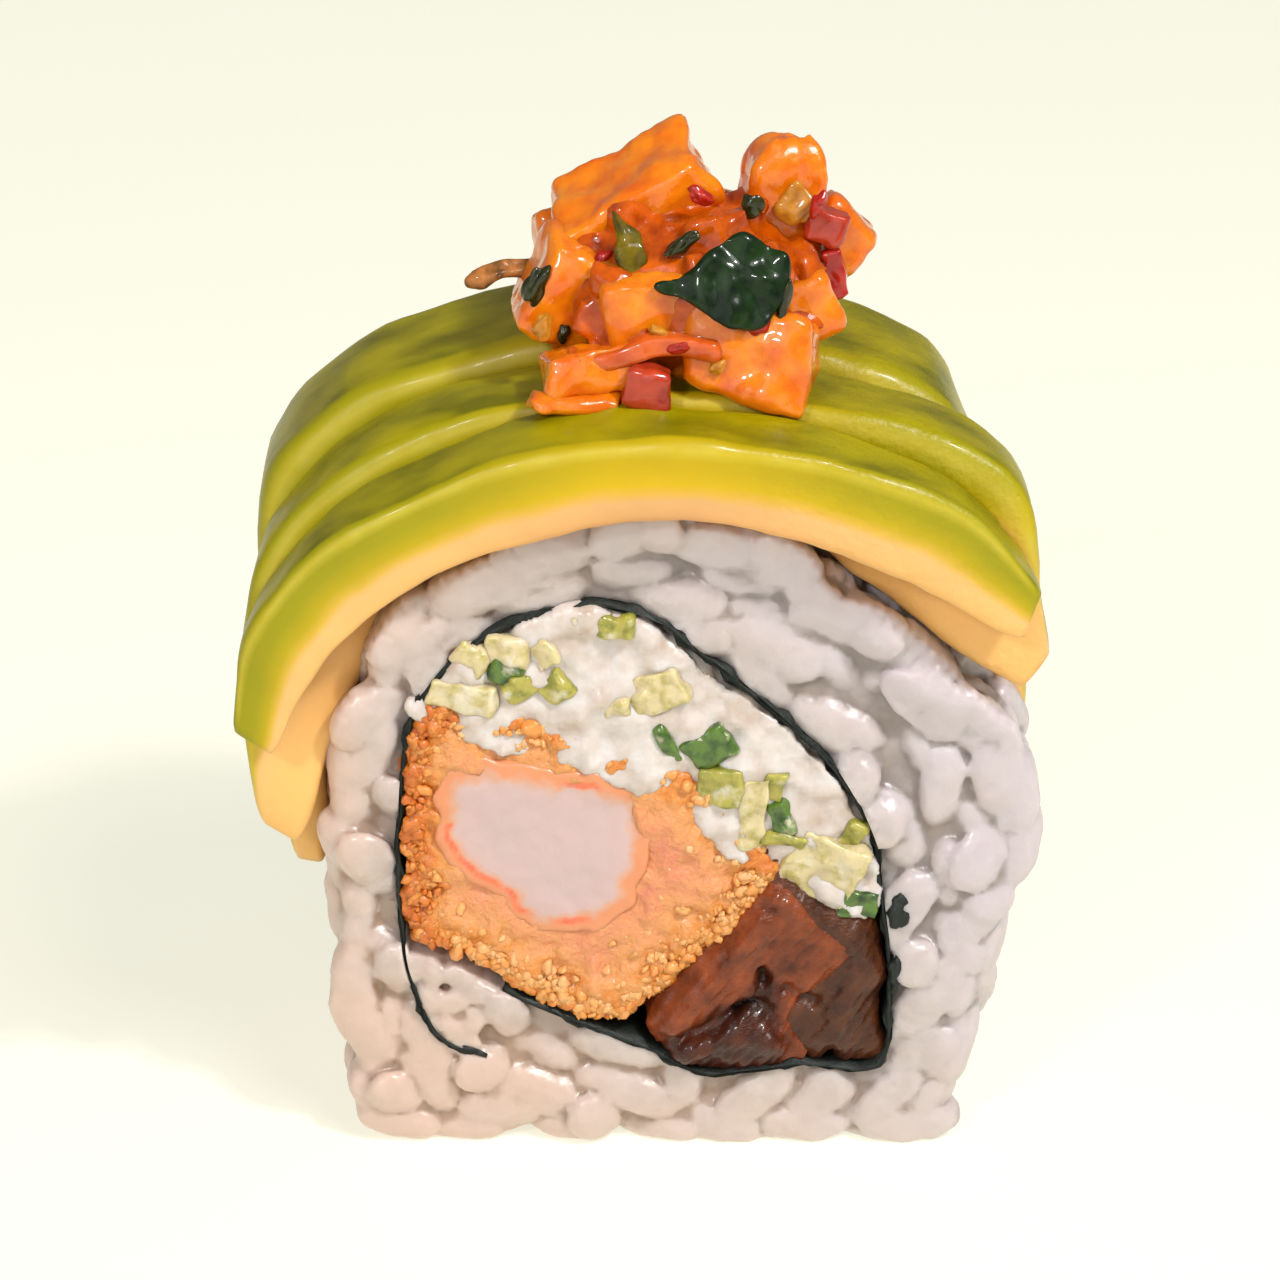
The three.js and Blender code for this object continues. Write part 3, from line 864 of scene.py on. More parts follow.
        for (run, y), angle in self.packed(self.wall_tries, propose, close):
            index = int(run / step) % len(line)
            along = (line[(index + 2) % len(line)] - line[index - 2]).normalized()
            outward = Vector((-along.z, 0.0, along.x))
            centre = line[index] - outward * (sunk + draws.uniform(0.1, 0.5))
            axis = (along * math.cos(angle) + Vector((0, 1, 0)) * math.sin(angle)).normalized()
            lie = Matrix((axis, outward.cross(axis), outward)).transposed().to_4x4()
            place = Matrix.Translation((centre.x, y, centre.z)) @ lie
            size = Matrix.Scale(draws.uniform(0.84, 1.1), 4)
            scatter.add(draws.randrange(len(scatter.bases)), place @ size, draws.random())

    def pressed(self, co: Vector) -> Vector:
        """Grain vertex pressed flat by the knife and the table."""
        x, y, z = co
        if y < self.front + 0.3:
            y = self.front + 0.3 + 0.4 * (y - self.front - 0.3)
        if y > self.back - 0.3:
            y = self.back - 0.3 + 0.4 * (y - self.back + 0.3)
        return Vector((x, y, max(z, 0.05 + 0.05 * math.sin(3 * x + 2 * y))))

    def grains(self, zone: Sequence[Vector], sunk: float, close: float, seed: int) -> Scatter:
        """One layer of grains all over the rice.

        Args:
            zone: outline of the hole that the nori and its filling run through.
            sunk: depth of the grains' middles.
            close: how closely they lie.
            seed: start of the random numbers.

        Returns:
            The grains.
        """
        draws = random.Random(seed)
        shapes = ((0.25, 0.06), (-0.2, 0.1), (0.45, -0.04), (0.05, 0.0), (0.3, -0.1))
        scatter = Scatter([self.base_grain(bend, plump) for bend, plump in shapes])
        self.face_grains(scatter, zone, draws, sunk, close)
        self.wall_grains(scatter, draws, sunk - 0.2, 0.78 * close)
        for x, z, angle, share in self.pocket_grains:
            place = Matrix.Translation((x, self.front + 0.1 + 0.3 * sunk, z)) @ turned((0, -angle, 0))
            stout = Matrix.Diagonal((0.8 * share, 1.3 * share, 1.3 * share, 1.0))
            scatter.add(draws.randrange(len(shapes)), place @ stout, draws.random())
        return scatter

    def tones(self, mesh: bpy.types.Mesh, layers: Sequence[Scatter]) -> list[float]:
        """Tone of each vertex, taken from the grain that it belongs to."""
        half = Vector((0.3 * self.grain_length, 0.0, 0.0))
        spots = [(matrix @ (half * side), tone) for layer in layers for _, matrix, tone in layer.places
                 for side in (-1, 0, 1)]
        tree = KDTree(len(spots))
        for index, (place, _) in enumerate(spots):
            tree.insert(place, index)
        tree.balance()
        return [spots[tree.find(vertex.co)[1]][1] for vertex in mesh.vertices]

    def build(self, nori: "NoriSheet") -> None:
        """Builds the rice.

        Args:
            nori: the sheet that runs through it.
        """
        zone = nori.zone()
        mass = slab(grown(self.ring, -self.skin), self.front + self.skin, self.back - self.skin)
        layers = [self.grains(zone, sunk, close, self.seed + index)
                  for index, (sunk, close) in enumerate(self.layers)]
        for layer in layers:
            absorb(mass, layer.mesh("grains", self.pressed))
        mass = roughen(remeshed(mass, self.voxel, 1), [(1.6, 0.13), (0.6, 0.05)], 3.0)
        mass = thinned(mass, 0.5)
        for cut in (zone, nori.slot_outline()):
            mass = without(mass, slab(cut, self.front - 5, self.back + 5))
        reshape(mass, lambda co: self.smeared(co, distance_to(co, zone)))
        mesh = mesh_of(mass, "rice_grains")
        with_values(mesh, "tone", self.tones(mesh, layers))
        places = corners(mesh)
        x, y, z = places.T
        face = np.minimum(y - self.front, self.back - y)
        # Depth below the cut faces and the wall, which the finish turns into painted shade in the gaps
        # between grains.
        with_values(mesh, "sunken", np.minimum(face, distances(places, self.ring)) / 1.6)
        with_values(mesh, "warm", np.clip(0.6 - x / 50 - (z - 12) / 90, 0, 1))
        with_values(mesh, "inner", np.exp(-(distances(places, zone) / 3.0) ** 2))
        # Depth in the furrows between grains, which the finish turns into painted shade.
        with_values(mesh, "furrow", furrows(mesh, 10))
        piece_from(mesh, "rice_grains", self.finish(), ["rice"])

    def smeared(self, co: Vector, away: float) -> Vector:
        """Place of a point of the pressed mass.

        The knife smears the rice flat, the more so far from the nori, and the rice swells out under the
        avocado until it touches the slices.

        Args:
            co: the point.
            away: its distance from the nori on the cut face.

        Returns:
            The new place.
        """
        away_from_ring = distance_to(co, self.ring) if co.z > 30 else 9.0
        share = clamp((away - 3.5) / 5) * (0.55 if co.x > 0 else 0.3)
        y = co.y
        for plane, side in ((self.front + 0.2, 1), (self.back - 0.2, -1)):
            depth = side * (y - plane)
            if 0 < depth < self.smear_depth:
                y = plane + side * depth * (1 - share * (1 - depth / self.smear_depth))
        upper = clamp((co.z - 30) / 4)
        outward = Vector((co.x - 2, 0.0, co.z - 22)).normalized()
        edge = max(0.0, 1 - away_from_ring / 1.5)
        if co.y < 0:
            y -= self.under_overhang * upper * max(0.0, 1 - away_from_ring / 3.5)
        return Vector((co.x, y, max(co.z, 0.02))) + outward * (self.under_avocado * upper) * edge

    def finish(self) -> bpy.types.Material:
        """Cooked rice: milky, with light sinking into it, greyer near the nori, and with painted shade in
        its crevices and in the gaps between its grains.
        """
        graph = Graph("rice_grain")
        own = graph.math("MULTIPLY", graph.math("SUBTRACT", graph.attribute("tone"), 0.5), 0.16)
        soft = graph.wander(7.0, 2.0, 0.7)
        value = graph.math("ADD", graph.math("ADD", graph.attribute("warm"), soft), own)
        surface = graph.ramp(value, [
            (0.05, srgb(193, 183, 186)), (0.4, srgb(196, 182, 178)), (0.7, srgb(199, 180, 171)),
            (1.0, srgb(202, 177, 163))])
        grey = graph.ramp(graph.noise(1.5), [(0.3, srgb(164, 154, 150)), (0.7, srgb(194, 184, 180))])
        inner = graph.math("MULTIPLY", graph.attribute("inner"), 0.6)
        # Painted shade: a darker brownish grey for the crevices and gaps between grains.
        crevice_shade = graph.ramp(value, [(0.1, srgb(140, 128, 122)), (0.9, srgb(164, 134, 112))])
        # Shares of painted shade, by depth below the surface and by furrow depth.
        depth = graph.fade(graph.attribute("sunken"), 0.35, 1.0)
        furrow = graph.fade(graph.attribute("furrow"), 0.015, 0.14, 0.8)
        upper = graph.mix(inner, surface, grey)
        graph.colour(graph.mix(furrow, graph.mix(depth, upper, crevice_shade), crevice_shade))
        graph.bump(graph.noise(0.7, 4.0), 0.07)
        Wetness(roughness=0.36, sink=0.85, sink_depth=1.7, sink_tint=(1.0, 0.84, 0.74),
                coat=0.2).dress(graph)
        return graph.material


@dataclass
class NoriSheet:
    """One sheet of seaweed wound round the filling, whose ends pass each other at the lower left.

    The ring that it makes is closed by the point of its path that ring_end counts. Each scrap that
    shows beside it has its X, Z, width and height.
    """

    front: float = -11.9
    back: float = 10.9
    thickness: float = 0.3
    path: tuple[Pair, ...] = (
        (-9.9, 12.2), (-5.5, 9.9), (0, 7.6), (3.5, 5.7), (10.4, 6.4), (15.7, 6.3), (16.4, 12.5),
        (15.7, 19.1), (14.9, 24), (12, 29.2), (7.2, 33.9), (3.3, 37.1), (0.6, 39.4), (-3.9, 40.6),
        (-9.8, 38.9), (-14.5, 34.8), (-16.1, 31), (-16.8, 24), (-16.9, 18), (-16.2, 12.6),
        (-14.4, 8.4), (-11.2, 7.0),
    )
    ring_end: int = 18
    scraps: tuple[tuple[float, float, float, float], ...] = ((16.8, 18.2, 1.7, 3.0), (16.7, 13.6, 0.9, 3.0))
    pocket_roof: tuple[Pair, ...] = ((-16.3, 15.2), (-12.7, 13.8), (-10.4, 12.2))

    def zone(self) -> list[Vector]:
        """Outline of the filling with the sheet round it."""
        line = SmoothLine(self.path)
        end = self.ring_end / (len(self.path) - 1)
        ring = [line.at(end * step / 90) for step in range(91)]
        return grown(ring + [Vector((x, 0.0, z)) for x, z in self.pocket_roof], 0.08)

    def slot_outline(self) -> list[Vector]:
        """Outline of the narrow slot that the sheet fills in the rice."""
        return ribbon(SmoothLine(self.path).sampled(150), lambda point: 0.14)

    def half(self, point: Vector) -> float:
        """Half the sheet's thickness, with knots where it is folded or wet."""
        knots = max(0.0, noise.noise(point / 1.5 + Vector((0, 5, 0))) - 0.12)
        return self.thickness / 2 + 0.6 * knots + 0.06 * noise.noise(point / 0.4)

    def wave(self, point: Vector) -> float:
        """How far the sheet strays sideways."""
        return 0.2 * noise.noise(point / 1.6) + 0.08 * noise.noise(point / 0.5 + Vector((9, 0, 0)))

    def build_sheet(self) -> bmesh.types.BMesh:
        """Builds the sheet as a wavy ribbon of uneven thickness."""
        outline = ribbon(SmoothLine(self.path).sampled(260), self.half, self.wave)
        bm = slab(outline, self.front, self.back)
        seams = [edge for edge in bm.edges if abs(edge.verts[0].co.y - edge.verts[1].co.y) > 1]
        bmesh.ops.subdivide_edges(bm, edges=seams, cuts=14, use_grid_fill=True)
        order = Vector((1000, 1, 31))
        bm.verts.sort(key=lambda vertex: vertex.co.dot(order))
        bm.faces.sort(key=lambda face: face.calc_center_median().dot(order))

        def rule(co: Vector) -> Vector:
            """Frays the cut edges."""
            fray = 0.3 * noise.noise(Vector((co.x, 0, co.z)) / 0.7)
            edge = min(abs(co.y - self.front), abs(co.y - self.back)) < 0.01
            return co + Vector((0.0, fray if edge else 0.0, 0.0))

        return reshape(bm, rule)

    def build_scrap(self, bm: bmesh.types.BMesh, x: float, z: float, width: float, height: float) -> None:
        """Adds a torn scrap of the sheet, pressed between the rice grains.

        Args:
            bm: takes the scrap.
            x: its place on the cut face.
            z: its height.
            width: its width.
            height: its own height.
        """
        scrap = bmesh.new()
        bmesh.ops.create_icosphere(scrap, subdivisions=3, radius=0.5)
        bmesh.ops.scale(scrap, vec=(width, 1.6, height), verts=scrap.verts)
        roughen(scrap, [(0.8, 0.5), (0.4, 0.2)], x)
        bmesh.ops.translate(scrap, vec=(x, self.front + 0.1, z), verts=scrap.verts)
        absorb(bm, mesh_of(scrap, "scrap"))

    def build(self) -> None:
        """Builds the sheet and the scraps that show beside it."""
        bm = self.build_sheet()
        for scrap in self.scraps:
            self.build_scrap(bm, *scrap)
        finish = MoistFood("nori_sheet", srgb(0, 6, 3), srgb(8, 24, 14), blotch=0.8, roughness=0.6,
                           sink=0.0, coat=0.05, coat_roughness=0.25, grain=0.25, relief=0.1)
        piece_from(mesh_of(bm, "nori_sheet"), "nori_sheet", finish.material(), ["nori"])


@dataclass
class FriedPrawn:
    """Prawn in its breadcrumb coating, cut across."""

    front: float = -12.2
    back: float = 11.2
    crumbs: int = 1300
    crumb_lumps: tuple[Pair, ...] = ((1.3, 0.45), (0.65, 0.45))
    seed: int = 23
    coating: tuple[Pair, ...] = (
        (-16.2, 18.2), (-16.1, 24), (-15.9, 29.2), (-14.6, 32.8), (-8.6, 32.2), (-3.4, 30.2), (1.2, 28.8),
        (4.4, 26.6), (6.8, 23.8), (8.2, 20.4), (5.4, 17.0), (2.0, 13.8), (-1.4, 10.6), (-4.7, 10.3),
        (-9.0, 12.6), (-12.4, 15.0), (-15.6, 16.4),
    )
    flesh: tuple[Pair, ...] = (
        (-13.3, 22.8), (-13.6, 25.4), (-13.1, 28.0), (-9.7, 28.7), (-5.4, 27.8), (-1.6, 26.8),
        (-0.8, 22.4), (-3.2, 17.9), (-6.0, 17.3), (-8.7, 18.4), (-11.2, 21.0),
    )

    def crumb(self, seed: float) -> bpy.types.Mesh:
        """One craggy breadcrumb, about 1 across."""
        bm = bmesh.new()
        bmesh.ops.create_icosphere(bm, subdivisions=2, radius=0.5)
        roughen(bm, [(0.6, 0.5), (0.25, 0.14)], seed)
        return mesh_of(bm, "crumb")

    def cobbled(self, bm: bmesh.types.BMesh, outer: Sequence[Vector]) -> bmesh.types.BMesh:
        """Raises small rounded lumps all over the coating, higher towards its outer edge."""
        bm.normal_update()
        moves = []
        for vertex in bm.verts:
            edge = 1 - min(1.0, distance_to(vertex.co, outer) / 4.0)
            lump = 0.0
            for size, height in self.crumb_lumps:
                gap = noise.voronoi(vertex.co / size)[0][0]
                lump += height * (0.45 - gap)
            moves.append(vertex.normal * lump * (0.45 + 0.75 * edge))
        for vertex, move in zip(bm.verts, moves):
            vertex.co += move
        return bm

    def build_coating(self) -> None:
        """Builds the coating: a craggy ring, with a value for how near each point is to its edge."""
        outer = closed_line(self.coating, 150)
        inner = closed_line(self.flesh, 90)
        body = slab(grown(outer, 0.3), self.front + 0.25, self.back - 0.25)
        bm = roughen(remeshed(without(body, slab(inner, -30, 30)), 0.24, 1), [(2.4, 0.5), (1.0, 0.3)], 1.0)
        self.cobbled(bm, outer)
        mesh = mesh_of(bm, "crumb_coating")
        places = corners(mesh)
        browned = 0.35 * np.clip((-13.6 - places[:, 0]) / 1.6, 0, 1)
        with_values(mesh, "edge", 1 - np.minimum(1, distances(places, outer) / 5.0) + browned)
        graph = Graph("crumb_coating")
        patches = graph.math("ADD", graph.math("MULTIPLY", graph.noise(2.6, 3.0), 0.45),
                             graph.math("MULTIPLY", graph.noise(0.7, 4.0), 0.45))
        value = graph.math("ADD", graph.math("SUBTRACT", patches, 0.07),
                           graph.math("MULTIPLY", graph.attribute("edge"), 0.42))
        graph.colour(graph.ramp(value, [
            (0.22, srgb(210, 126, 96)), (0.4, srgb(215, 140, 94)), (0.58, srgb(216, 148, 88)),
            (0.74, srgb(210, 130, 52)), (0.9, srgb(196, 100, 22)), (1.0, srgb(160, 72, 12))]))
        graph.bump(graph.noise(0.35, 4.0), 0.2)
        Wetness(roughness=0.4, sink=0.35, sink_tint=(1.0, 0.6, 0.35), coat=0.2,
                coat_roughness=0.15).dress(graph)
        piece_from(mesh, "crumb_coating", graph.material, ["crumb_coating"])

    def build_crumbs(self) -> None:
        """Scatters loose crumbs, thickly along the coating's edge and thinly over its cut faces."""
        draws = random.Random(self.seed)
        outer = closed_line(self.coating, 150)
        flesh = grown(closed_line(self.flesh, 90), 1.6)
        scatter = Scatter([self.crumb(seed) for seed in (1.0, 4.0, 7.0, 11.0)])
        while len(scatter.places) < self.crumbs:
            point = Vector((draws.uniform(-17, 9), 0.0, draws.uniform(9, 34)))
            if not inside(point, outer) or inside(point, flesh):
                continue
            edge = 1 - min(1.0, distance_to(point, outer) / 2.6)
            under_cream = point.z > 25 - 0.45 * point.x and point.x > -13
            if draws.random() > (0.02 + 0.98 * edge ** 1.3) * (0.25 if under_cream else 1.0):
                continue
            face = draws.choice(list(Face))
            plane = face.plane(self.front, self.back)
            size = draws.uniform(0.35, 1.15) * (0.75 + 0.35 * edge)
            y = plane - face.value * (draws.uniform(0.1, 0.4) + 0.3 * size)
            turn = turned([draws.uniform(0, 360) for _ in range(3)])
            place = Matrix.Translation((point.x, y, point.z)) @ turn @ Matrix.Scale(size, 4)
            rim = 0.42 if point.x < -13.2 else 0.0
            scatter.add(draws.randrange(4), place, min(1.0, 0.4 * edge + rim + draws.uniform(0.0, 0.5)))
        graph = Graph("loose_crumb")
        graph.colour(graph.ramp(graph.attribute("tone"), [
            (0.05, srgb(228, 174, 122)), (0.45, srgb(226, 160, 94)), (0.8, srgb(218, 138, 60)),
            (1.0, srgb(196, 102, 26))]))
        graph.bump(graph.noise(0.25, 3.0), 0.06)
        Wetness(roughness=0.4, sink_depth=0.5, sink_tint=(1.0, 0.62, 0.4), coat=0.2,
                coat_roughness=0.15).dress(graph)
        piece_from(scatter.mesh("loose_crumbs"), "loose_crumbs", graph.material)

    def build_flesh(self) -> None:
        """Builds the prawn: pale flesh with an orange-red skin that shows along its lower left edge."""
        outline = closed_line(self.flesh, 110)
        snug = [point + 0.6 * noise.noise_vector(point / 1.5) * Vector((1, 0, 1))
                for point in grown(outline, 0.8)]
        bm = remeshed(slab(snug, self.front + 0.1, self.back - 0.1), 0.28, 2)
        roughen(bm, [(4.0, 0.3), (1.2, 0.12)], 5.0)
        mesh = mesh_of(bm, "prawn_flesh")
        with_values(mesh, "skin", (self.skin_share(v.co, snug) for v in mesh.vertices))
        with_values(mesh, "rim", np.clip(1 - distances(corners(mesh), snug) / 3.0, 0, 1))
        graph = Graph("prawn_flesh")
        wave = graph.wander(1.2, 3.0, 0.5)
        flesh = graph.ramp(graph.math("ADD", graph.attribute("rim"), wave), [
            (0.0, srgb(193, 168, 166)), (0.46, srgb(197, 168, 163)), (0.62, srgb(206, 154, 128)),
            (0.78, srgb(214, 138, 94))])
        skin = graph.fade(graph.math("ADD", graph.attribute("skin"), wave), 0.3, 0.8, 0.85)
        red = graph.ramp(graph.noise(0.8, 3.0), [(0.3, srgb(226, 120, 80)), (0.7, srgb(216, 82, 44))])
        graph.colour(graph.mix(skin, flesh, red))
        graph.bump(graph.noise(0.8, 3.0), 0.05)
        Wetness(roughness=0.36, sink=0.45, sink_tint=(1.0, 0.7, 0.62), coat_roughness=0.2).dress(graph)
        piece_from(mesh, "prawn_flesh", graph.material, ["prawn"])

    def skin_share(self, co: Vector, outline: Sequence[Vector]) -> float:
        """How much of the orange-red skin shows at a point of the flesh, from 0 to 1."""
        near = max(0.0, 1 - abs(distance_to(co, outline) - 0.9) / 0.46)
        left = clamp((-6.5 - co.x) / 2.5) * (1.0 if co.z < 25 else 0.2)
        top = 1.2 * math.exp(-((co.x + 4.6) / 1.7) ** 2) if co.z > 26 else 0.0
        low = 1.1 * math.exp(-((co.x + 5.2) / 1.6) ** 2) if co.z < 18.5 else 0.0
        return near * max(left, top, low)

    def build(self) -> None:
        """Builds the coating, its crumbs and the flesh."""
        self.build_coating()
        self.build_crumbs()
        self.build_flesh()


class Green(Enum):
    """Kinds of chopped vegetable in the cream cheese: name, darker and lighter colour."""

    PALE = ("pale_cube", srgb(170, 158, 88), srgb(206, 190, 148))
    FRESH = ("fresh_green", srgb(106, 112, 26), srgb(170, 160, 74))
    DARK = ("dark_green", srgb(24, 58, 14), srgb(86, 116, 40))


@dataclass
class CreamCheese:
    """Cream cheese over the prawn, with chopped vegetables in it.

    Each chopped bit has its kind, X, Z, width, height and turn in degrees.
    """

    front: float = -12.0
    back: float = 11.0
    set_in: float = 0.64
    outline: tuple[Pair, ...] = (
        (-15.6, 33.0), (-14.2, 35.0), (-9.6, 38.3), (-3.9, 39.9), (0.4, 38.6), (3.2, 36.2), (6.9, 33.2),
        (11.6, 28.6), (14.4, 23.6), (15.2, 19.0), (14.0, 18.0), (10.8, 20.2), (6.2, 22.2), (2, 26),
        (-2, 28), (-9, 30.2),
    )
    chopped: tuple[tuple[Green, float, float, float, float, float], ...] = (
        (Green.PALE, 0.6, 34.6, 3.5, 2.8, -20), (Green.PALE, -9.4, 37.4, 2.6, 2.2, 10),
        (Green.PALE, -11.6, 36.8, 2.2, 1.9, 40), (Green.PALE, -12.2, 34.2, 4.0, 1.8, 8),
        (Green.DARK, -9.2, 36.0, 1.9, 1.7, 30), (Green.FRESH, -8.4, 34.9, 2.0, 1.6, -25),
        (Green.FRESH, -6.2, 34.8, 2.0, 2.1, -40), (Green.FRESH, -3.4, 39.3, 4.2, 1.5, 4),
        (Green.DARK, 1.2, 30.8, 0.9, 3.2, -28), (Green.DARK, 4.0, 30.5, 3.0, 2.5, -30),
        (Green.FRESH, 4.8, 27.7, 2.9, 2.3, 5), (Green.PALE, 6.9, 25.6, 1.7, 4.6, 4),
        (Green.FRESH, 8.3, 27.6, 1.4, 2.0, 15), (Green.DARK, 8.8, 25.3, 1.4, 2.1, -20),
        (Green.FRESH, 9.1, 23.7, 2.5, 1.1, 8), (Green.PALE, 11.7, 21.6, 4.3, 4.2, 20),
        (Green.FRESH, 13.5, 23.9, 1.3, 2.2, 35), (Green.DARK, 14.1, 18.9, 2.4, 1.8, 10),
        (Green.PALE, -6.8, 37.2, 1.8, 1.5, 60), (Green.PALE, -2.2, 33.2, 1.6, 1.2, -15),
    )

    def build(self) -> None:
        """Builds the cheese and its vegetables."""
        outline = grown(closed_line(self.outline, 150), 0.3)
        bm = remeshed(slab(outline, self.front, self.back), 0.34, 3)
        roughen(bm, [(3.0, 0.7), (1.3, 0.5), (0.6, 0.14)], 9.0)
        finish = MoistFood("cream_cheese", srgb(182, 162, 146), srgb(216, 210, 208), blotch=1.9,
                           roughness=0.34, sink=0.5, sink_depth=0.9, sink_tint=(1.0, 0.82, 0.7), coat=0.3,
                           grain=0.9, relief=0.1)
        piece_from(mesh_of(bm, "cream_cheese"), "cream_cheese", finish.material(), ["cream_cheese"])
        for kind in Green:
            self.build_chopped(kind)

    def build_chopped(self, kind: Green) -> None:
        """Builds every bit of one kind of vegetable, set into both cut faces."""
        name, dark, light = kind.value
        joined = bmesh.new()
        bits = [bit for bit in self.chopped if bit[0] is kind]
        for index, (_, x, z, width, height, turn) in enumerate(bits):
            for face in Face:
                y = face.plane(self.front, self.back) - face.value * self.set_in
                bit = cut_block((0.6 * width, 1.1, 0.6 * height), index + 3.0 * face.value, 0.2, 0.2)
                roughen(bit, [(1.3, 0.28), (0.6, 0.08)], x + z)
                matrix = Matrix.Translation((x, y, z)) @ turned((6, turn, 8 * face.value))
                absorb(joined, mesh_of(stood(bit, matrix), "bit"))
        finish = MoistFood(name, dark, light, blotch=0.9, roughness=0.3, sink=0.6, sink_depth=1.0,
                           sink_tint=(0.8, 1.0, 0.4), coat=0.3, grain=0.4, relief=0.08)
        graph = finish.graph()
        flesh = graph.ramp(graph.noise(0.9), [(0.3, dark), (0.55, light)])
        smear = graph.fade(graph.noise(1.6, 4.0), 0.56, 0.68, 0.8)
        milk = graph.ramp(graph.noise(1.0), [(0.3, srgb(206, 196, 166)), (0.7, srgb(216, 208, 190))])
        graph.colour(graph.mix(smear, flesh, milk))
        piece_from(mesh_of(joined, name), name, graph.material, ["cream_cheese"])


@dataclass
class BraisedMushroom:
    """Two folded lobes of a braised mushroom, shining wet, with cracks between their folds."""

    front: float = -12.4
    back: float = 11.4
    front_lobe: tuple[Pair, ...] = (
        (0.2, 8.6), (0.7, 11.8), (3.4, 14.8), (5.8, 17.9), (7.9, 20.4), (9.4, 20.2), (11.4, 17.6),
        (13.6, 15.2), (11.4, 12.2), (9.6, 10.0), (10.6, 6.6), (4.0, 6.0),
    )
    back_lobe: tuple[Pair, ...] = (
        (8.2, 12.0), (7.4, 20.0), (6.8, 23.0), (9.4, 23.2), (11.2, 20.9), (13.6, 19.6), (15.4, 16.4),
        (16.0, 12.6), (15.5, 9.6), (15.9, 6.7), (11, 6.4), (8.6, 8.6),
    )
    ridges: tuple[tuple[Pair, ...], ...] = (
        ((8.3, 19.8), (10.1, 18.7), (13.4, 16.2), (15.4, 13.8)),
        ((7.6, 17.6), (4.6, 13.4), (1.6, 10.0)),
        ((2.4, 7.4), (5.8, 9.2), (8.4, 8.6)),
        ((14.1, 13.8), (13.1, 10.5), (12.6, 8.4)),
    )
    creases: tuple[tuple[Pair, ...], ...] = (
        ((2.6, 9.0), (4.4, 9.7), (5.8, 10.6)),
        ((7.6, 12.6), (7.6, 11.6), (8.6, 9.6), (9.7, 7.6)),
        ((12.3, 6.2), (12.5, 7.0), (12.4, 7.8)),
        ((9.3, 12.4), (10.0, 11.8), (11.2, 11.2)),
    )
    cracks: tuple[tuple[Pair, ...], ...] = (
        ((5.8, 10.7), (6.6, 11.3), (7.2, 11.2)),
        ((7.6, 13.7), (7.75, 13.0)),
        ((12.4, 6.3), (12.5, 6.8)),
    )

    def nearness(self, lines: Sequence[Sequence[Pair]], co: Vector, width: float) -> float:
        """How near a point is to the nearest of some lines: 1 on it, falling to 0 within a few widths."""
        near = min(self.distance(line, co) for line in lines)
        return math.exp(-(near / width) ** 2)

    def low(self, co: Vector) -> float:
        """How much a point lies in the darker fold at the bottom."""
        below = clamp((7.9 + 0.72 * (co.x - 0.4) - co.z) / 1.2 + 0.5)
        return 0.42 * below * clamp((9.8 - co.x) / 1.6)

    def distance(self, line: Sequence[Pair], co: Vector) -> float:
        """Distance on the cut face from a point to a line of straight pieces."""
        best = 99.0
        for (ax, az), (bx, bz) in zip(line, line[1:]):
            dx, dz = bx - ax, bz - az
            share = clamp(((co.x - ax) * dx + (co.z - az) * dz) / (dx * dx + dz * dz))
            best = min(best, math.hypot(co.x - ax - share * dx, co.z - az - share * dz))
        return best

    def build_lobe(self, name: str, outline: Sequence[Pair], front: float, dark: Colour,
                   light: Colour) -> None:
        """Builds one lobe.

        Args:
            name: name of the piece and of the solid that it stands for.
            outline: its outline on the cut face.
            front: Y of its cut face.
            dark: its darker colour, in blotches, and darker still in the fold at the bottom.
            light: its lighter colour, in blotches.
        """
        ring = grown(closed_line(outline, 120), 0.2)
        bm = remeshed(slab(ring, front, self.back), 0.26, 3)

        def rule(co: Vector) -> Vector:
            """Raises the folds, opens the cracks and lets the face fall away towards the outline."""
            if front + 3 < co.y < self.back - 3:
                return co
            fall = min(1.0, distance_to(co, ring) / 1.8)
            fold = 0.9 * self.nearness(self.ridges, co, 1.1) - 1.0 * self.nearness(self.cracks, co, 0.34)
            fold -= 0.5 * self.nearness(self.creases, co, 0.5)
            streak = 0.1 * math.sin(7 * (co.x - 0.7 * co.z) + 3 * noise.noise(co / 2))
            side = -1 if co.y < 0 else 1
            swell = 0.8 * math.sin(fall * math.pi / 2) - 0.9
            return co + Vector((0.0, side * (fold + streak + swell), 0.0))

        reshape(bm, rule)
        roughen(bm, [(2.2, 0.3), (0.8, 0.12)], 13.0)
        mesh = mesh_of(bm, name)
        # How near each vertex is to a crack; the finish paints the cracks near-black as shade.
        with_values(mesh, "crack", (self.nearness(self.cracks, v.co, 0.36) for v in mesh.vertices))
        with_values(mesh, "low", (self.low(v.co) for v in mesh.vertices))
        graph = Graph(name)
        shade = graph.math("SUBTRACT", graph.noise(1.6, 4.0), graph.attribute("low"))
        fold = tuple(0.45 * share for share in dark)
        flesh = graph.ramp(shade, [(0.0, fold), (0.25, dark), (0.75, light)])
        # Painted shade: near-black colour in the cracks between the folds.
        crack_shade = graph.ramp(graph.noise(1.0), [(0.0, srgb(16, 6, 3)), (1.0, srgb(26, 10, 5))])
        graph.colour(graph.mix(graph.attribute("crack"), flesh, crack_shade))
        graph.bump(graph.noise(0.35, 4.0, (1.0, 1.0, 2.2)), 0.09)
        Wetness(roughness=0.34, sink=0.12, sink_depth=0.8, sink_tint=(1.0, 0.4, 0.2), coat_roughness=0.1,
                shine=0.2).dress(graph)
        piece_from(mesh, name, graph.material, [name])

    def build(self) -> None:
        """Builds both lobes."""
        self.build_lobe("mushroom_front", self.front_lobe, self.front, srgb(80, 32, 12), srgb(148, 70, 32))
        self.build_lobe("mushroom_back", self.back_lobe, self.front + 0.6, srgb(46, 22, 10),
                        srgb(98, 52, 28))


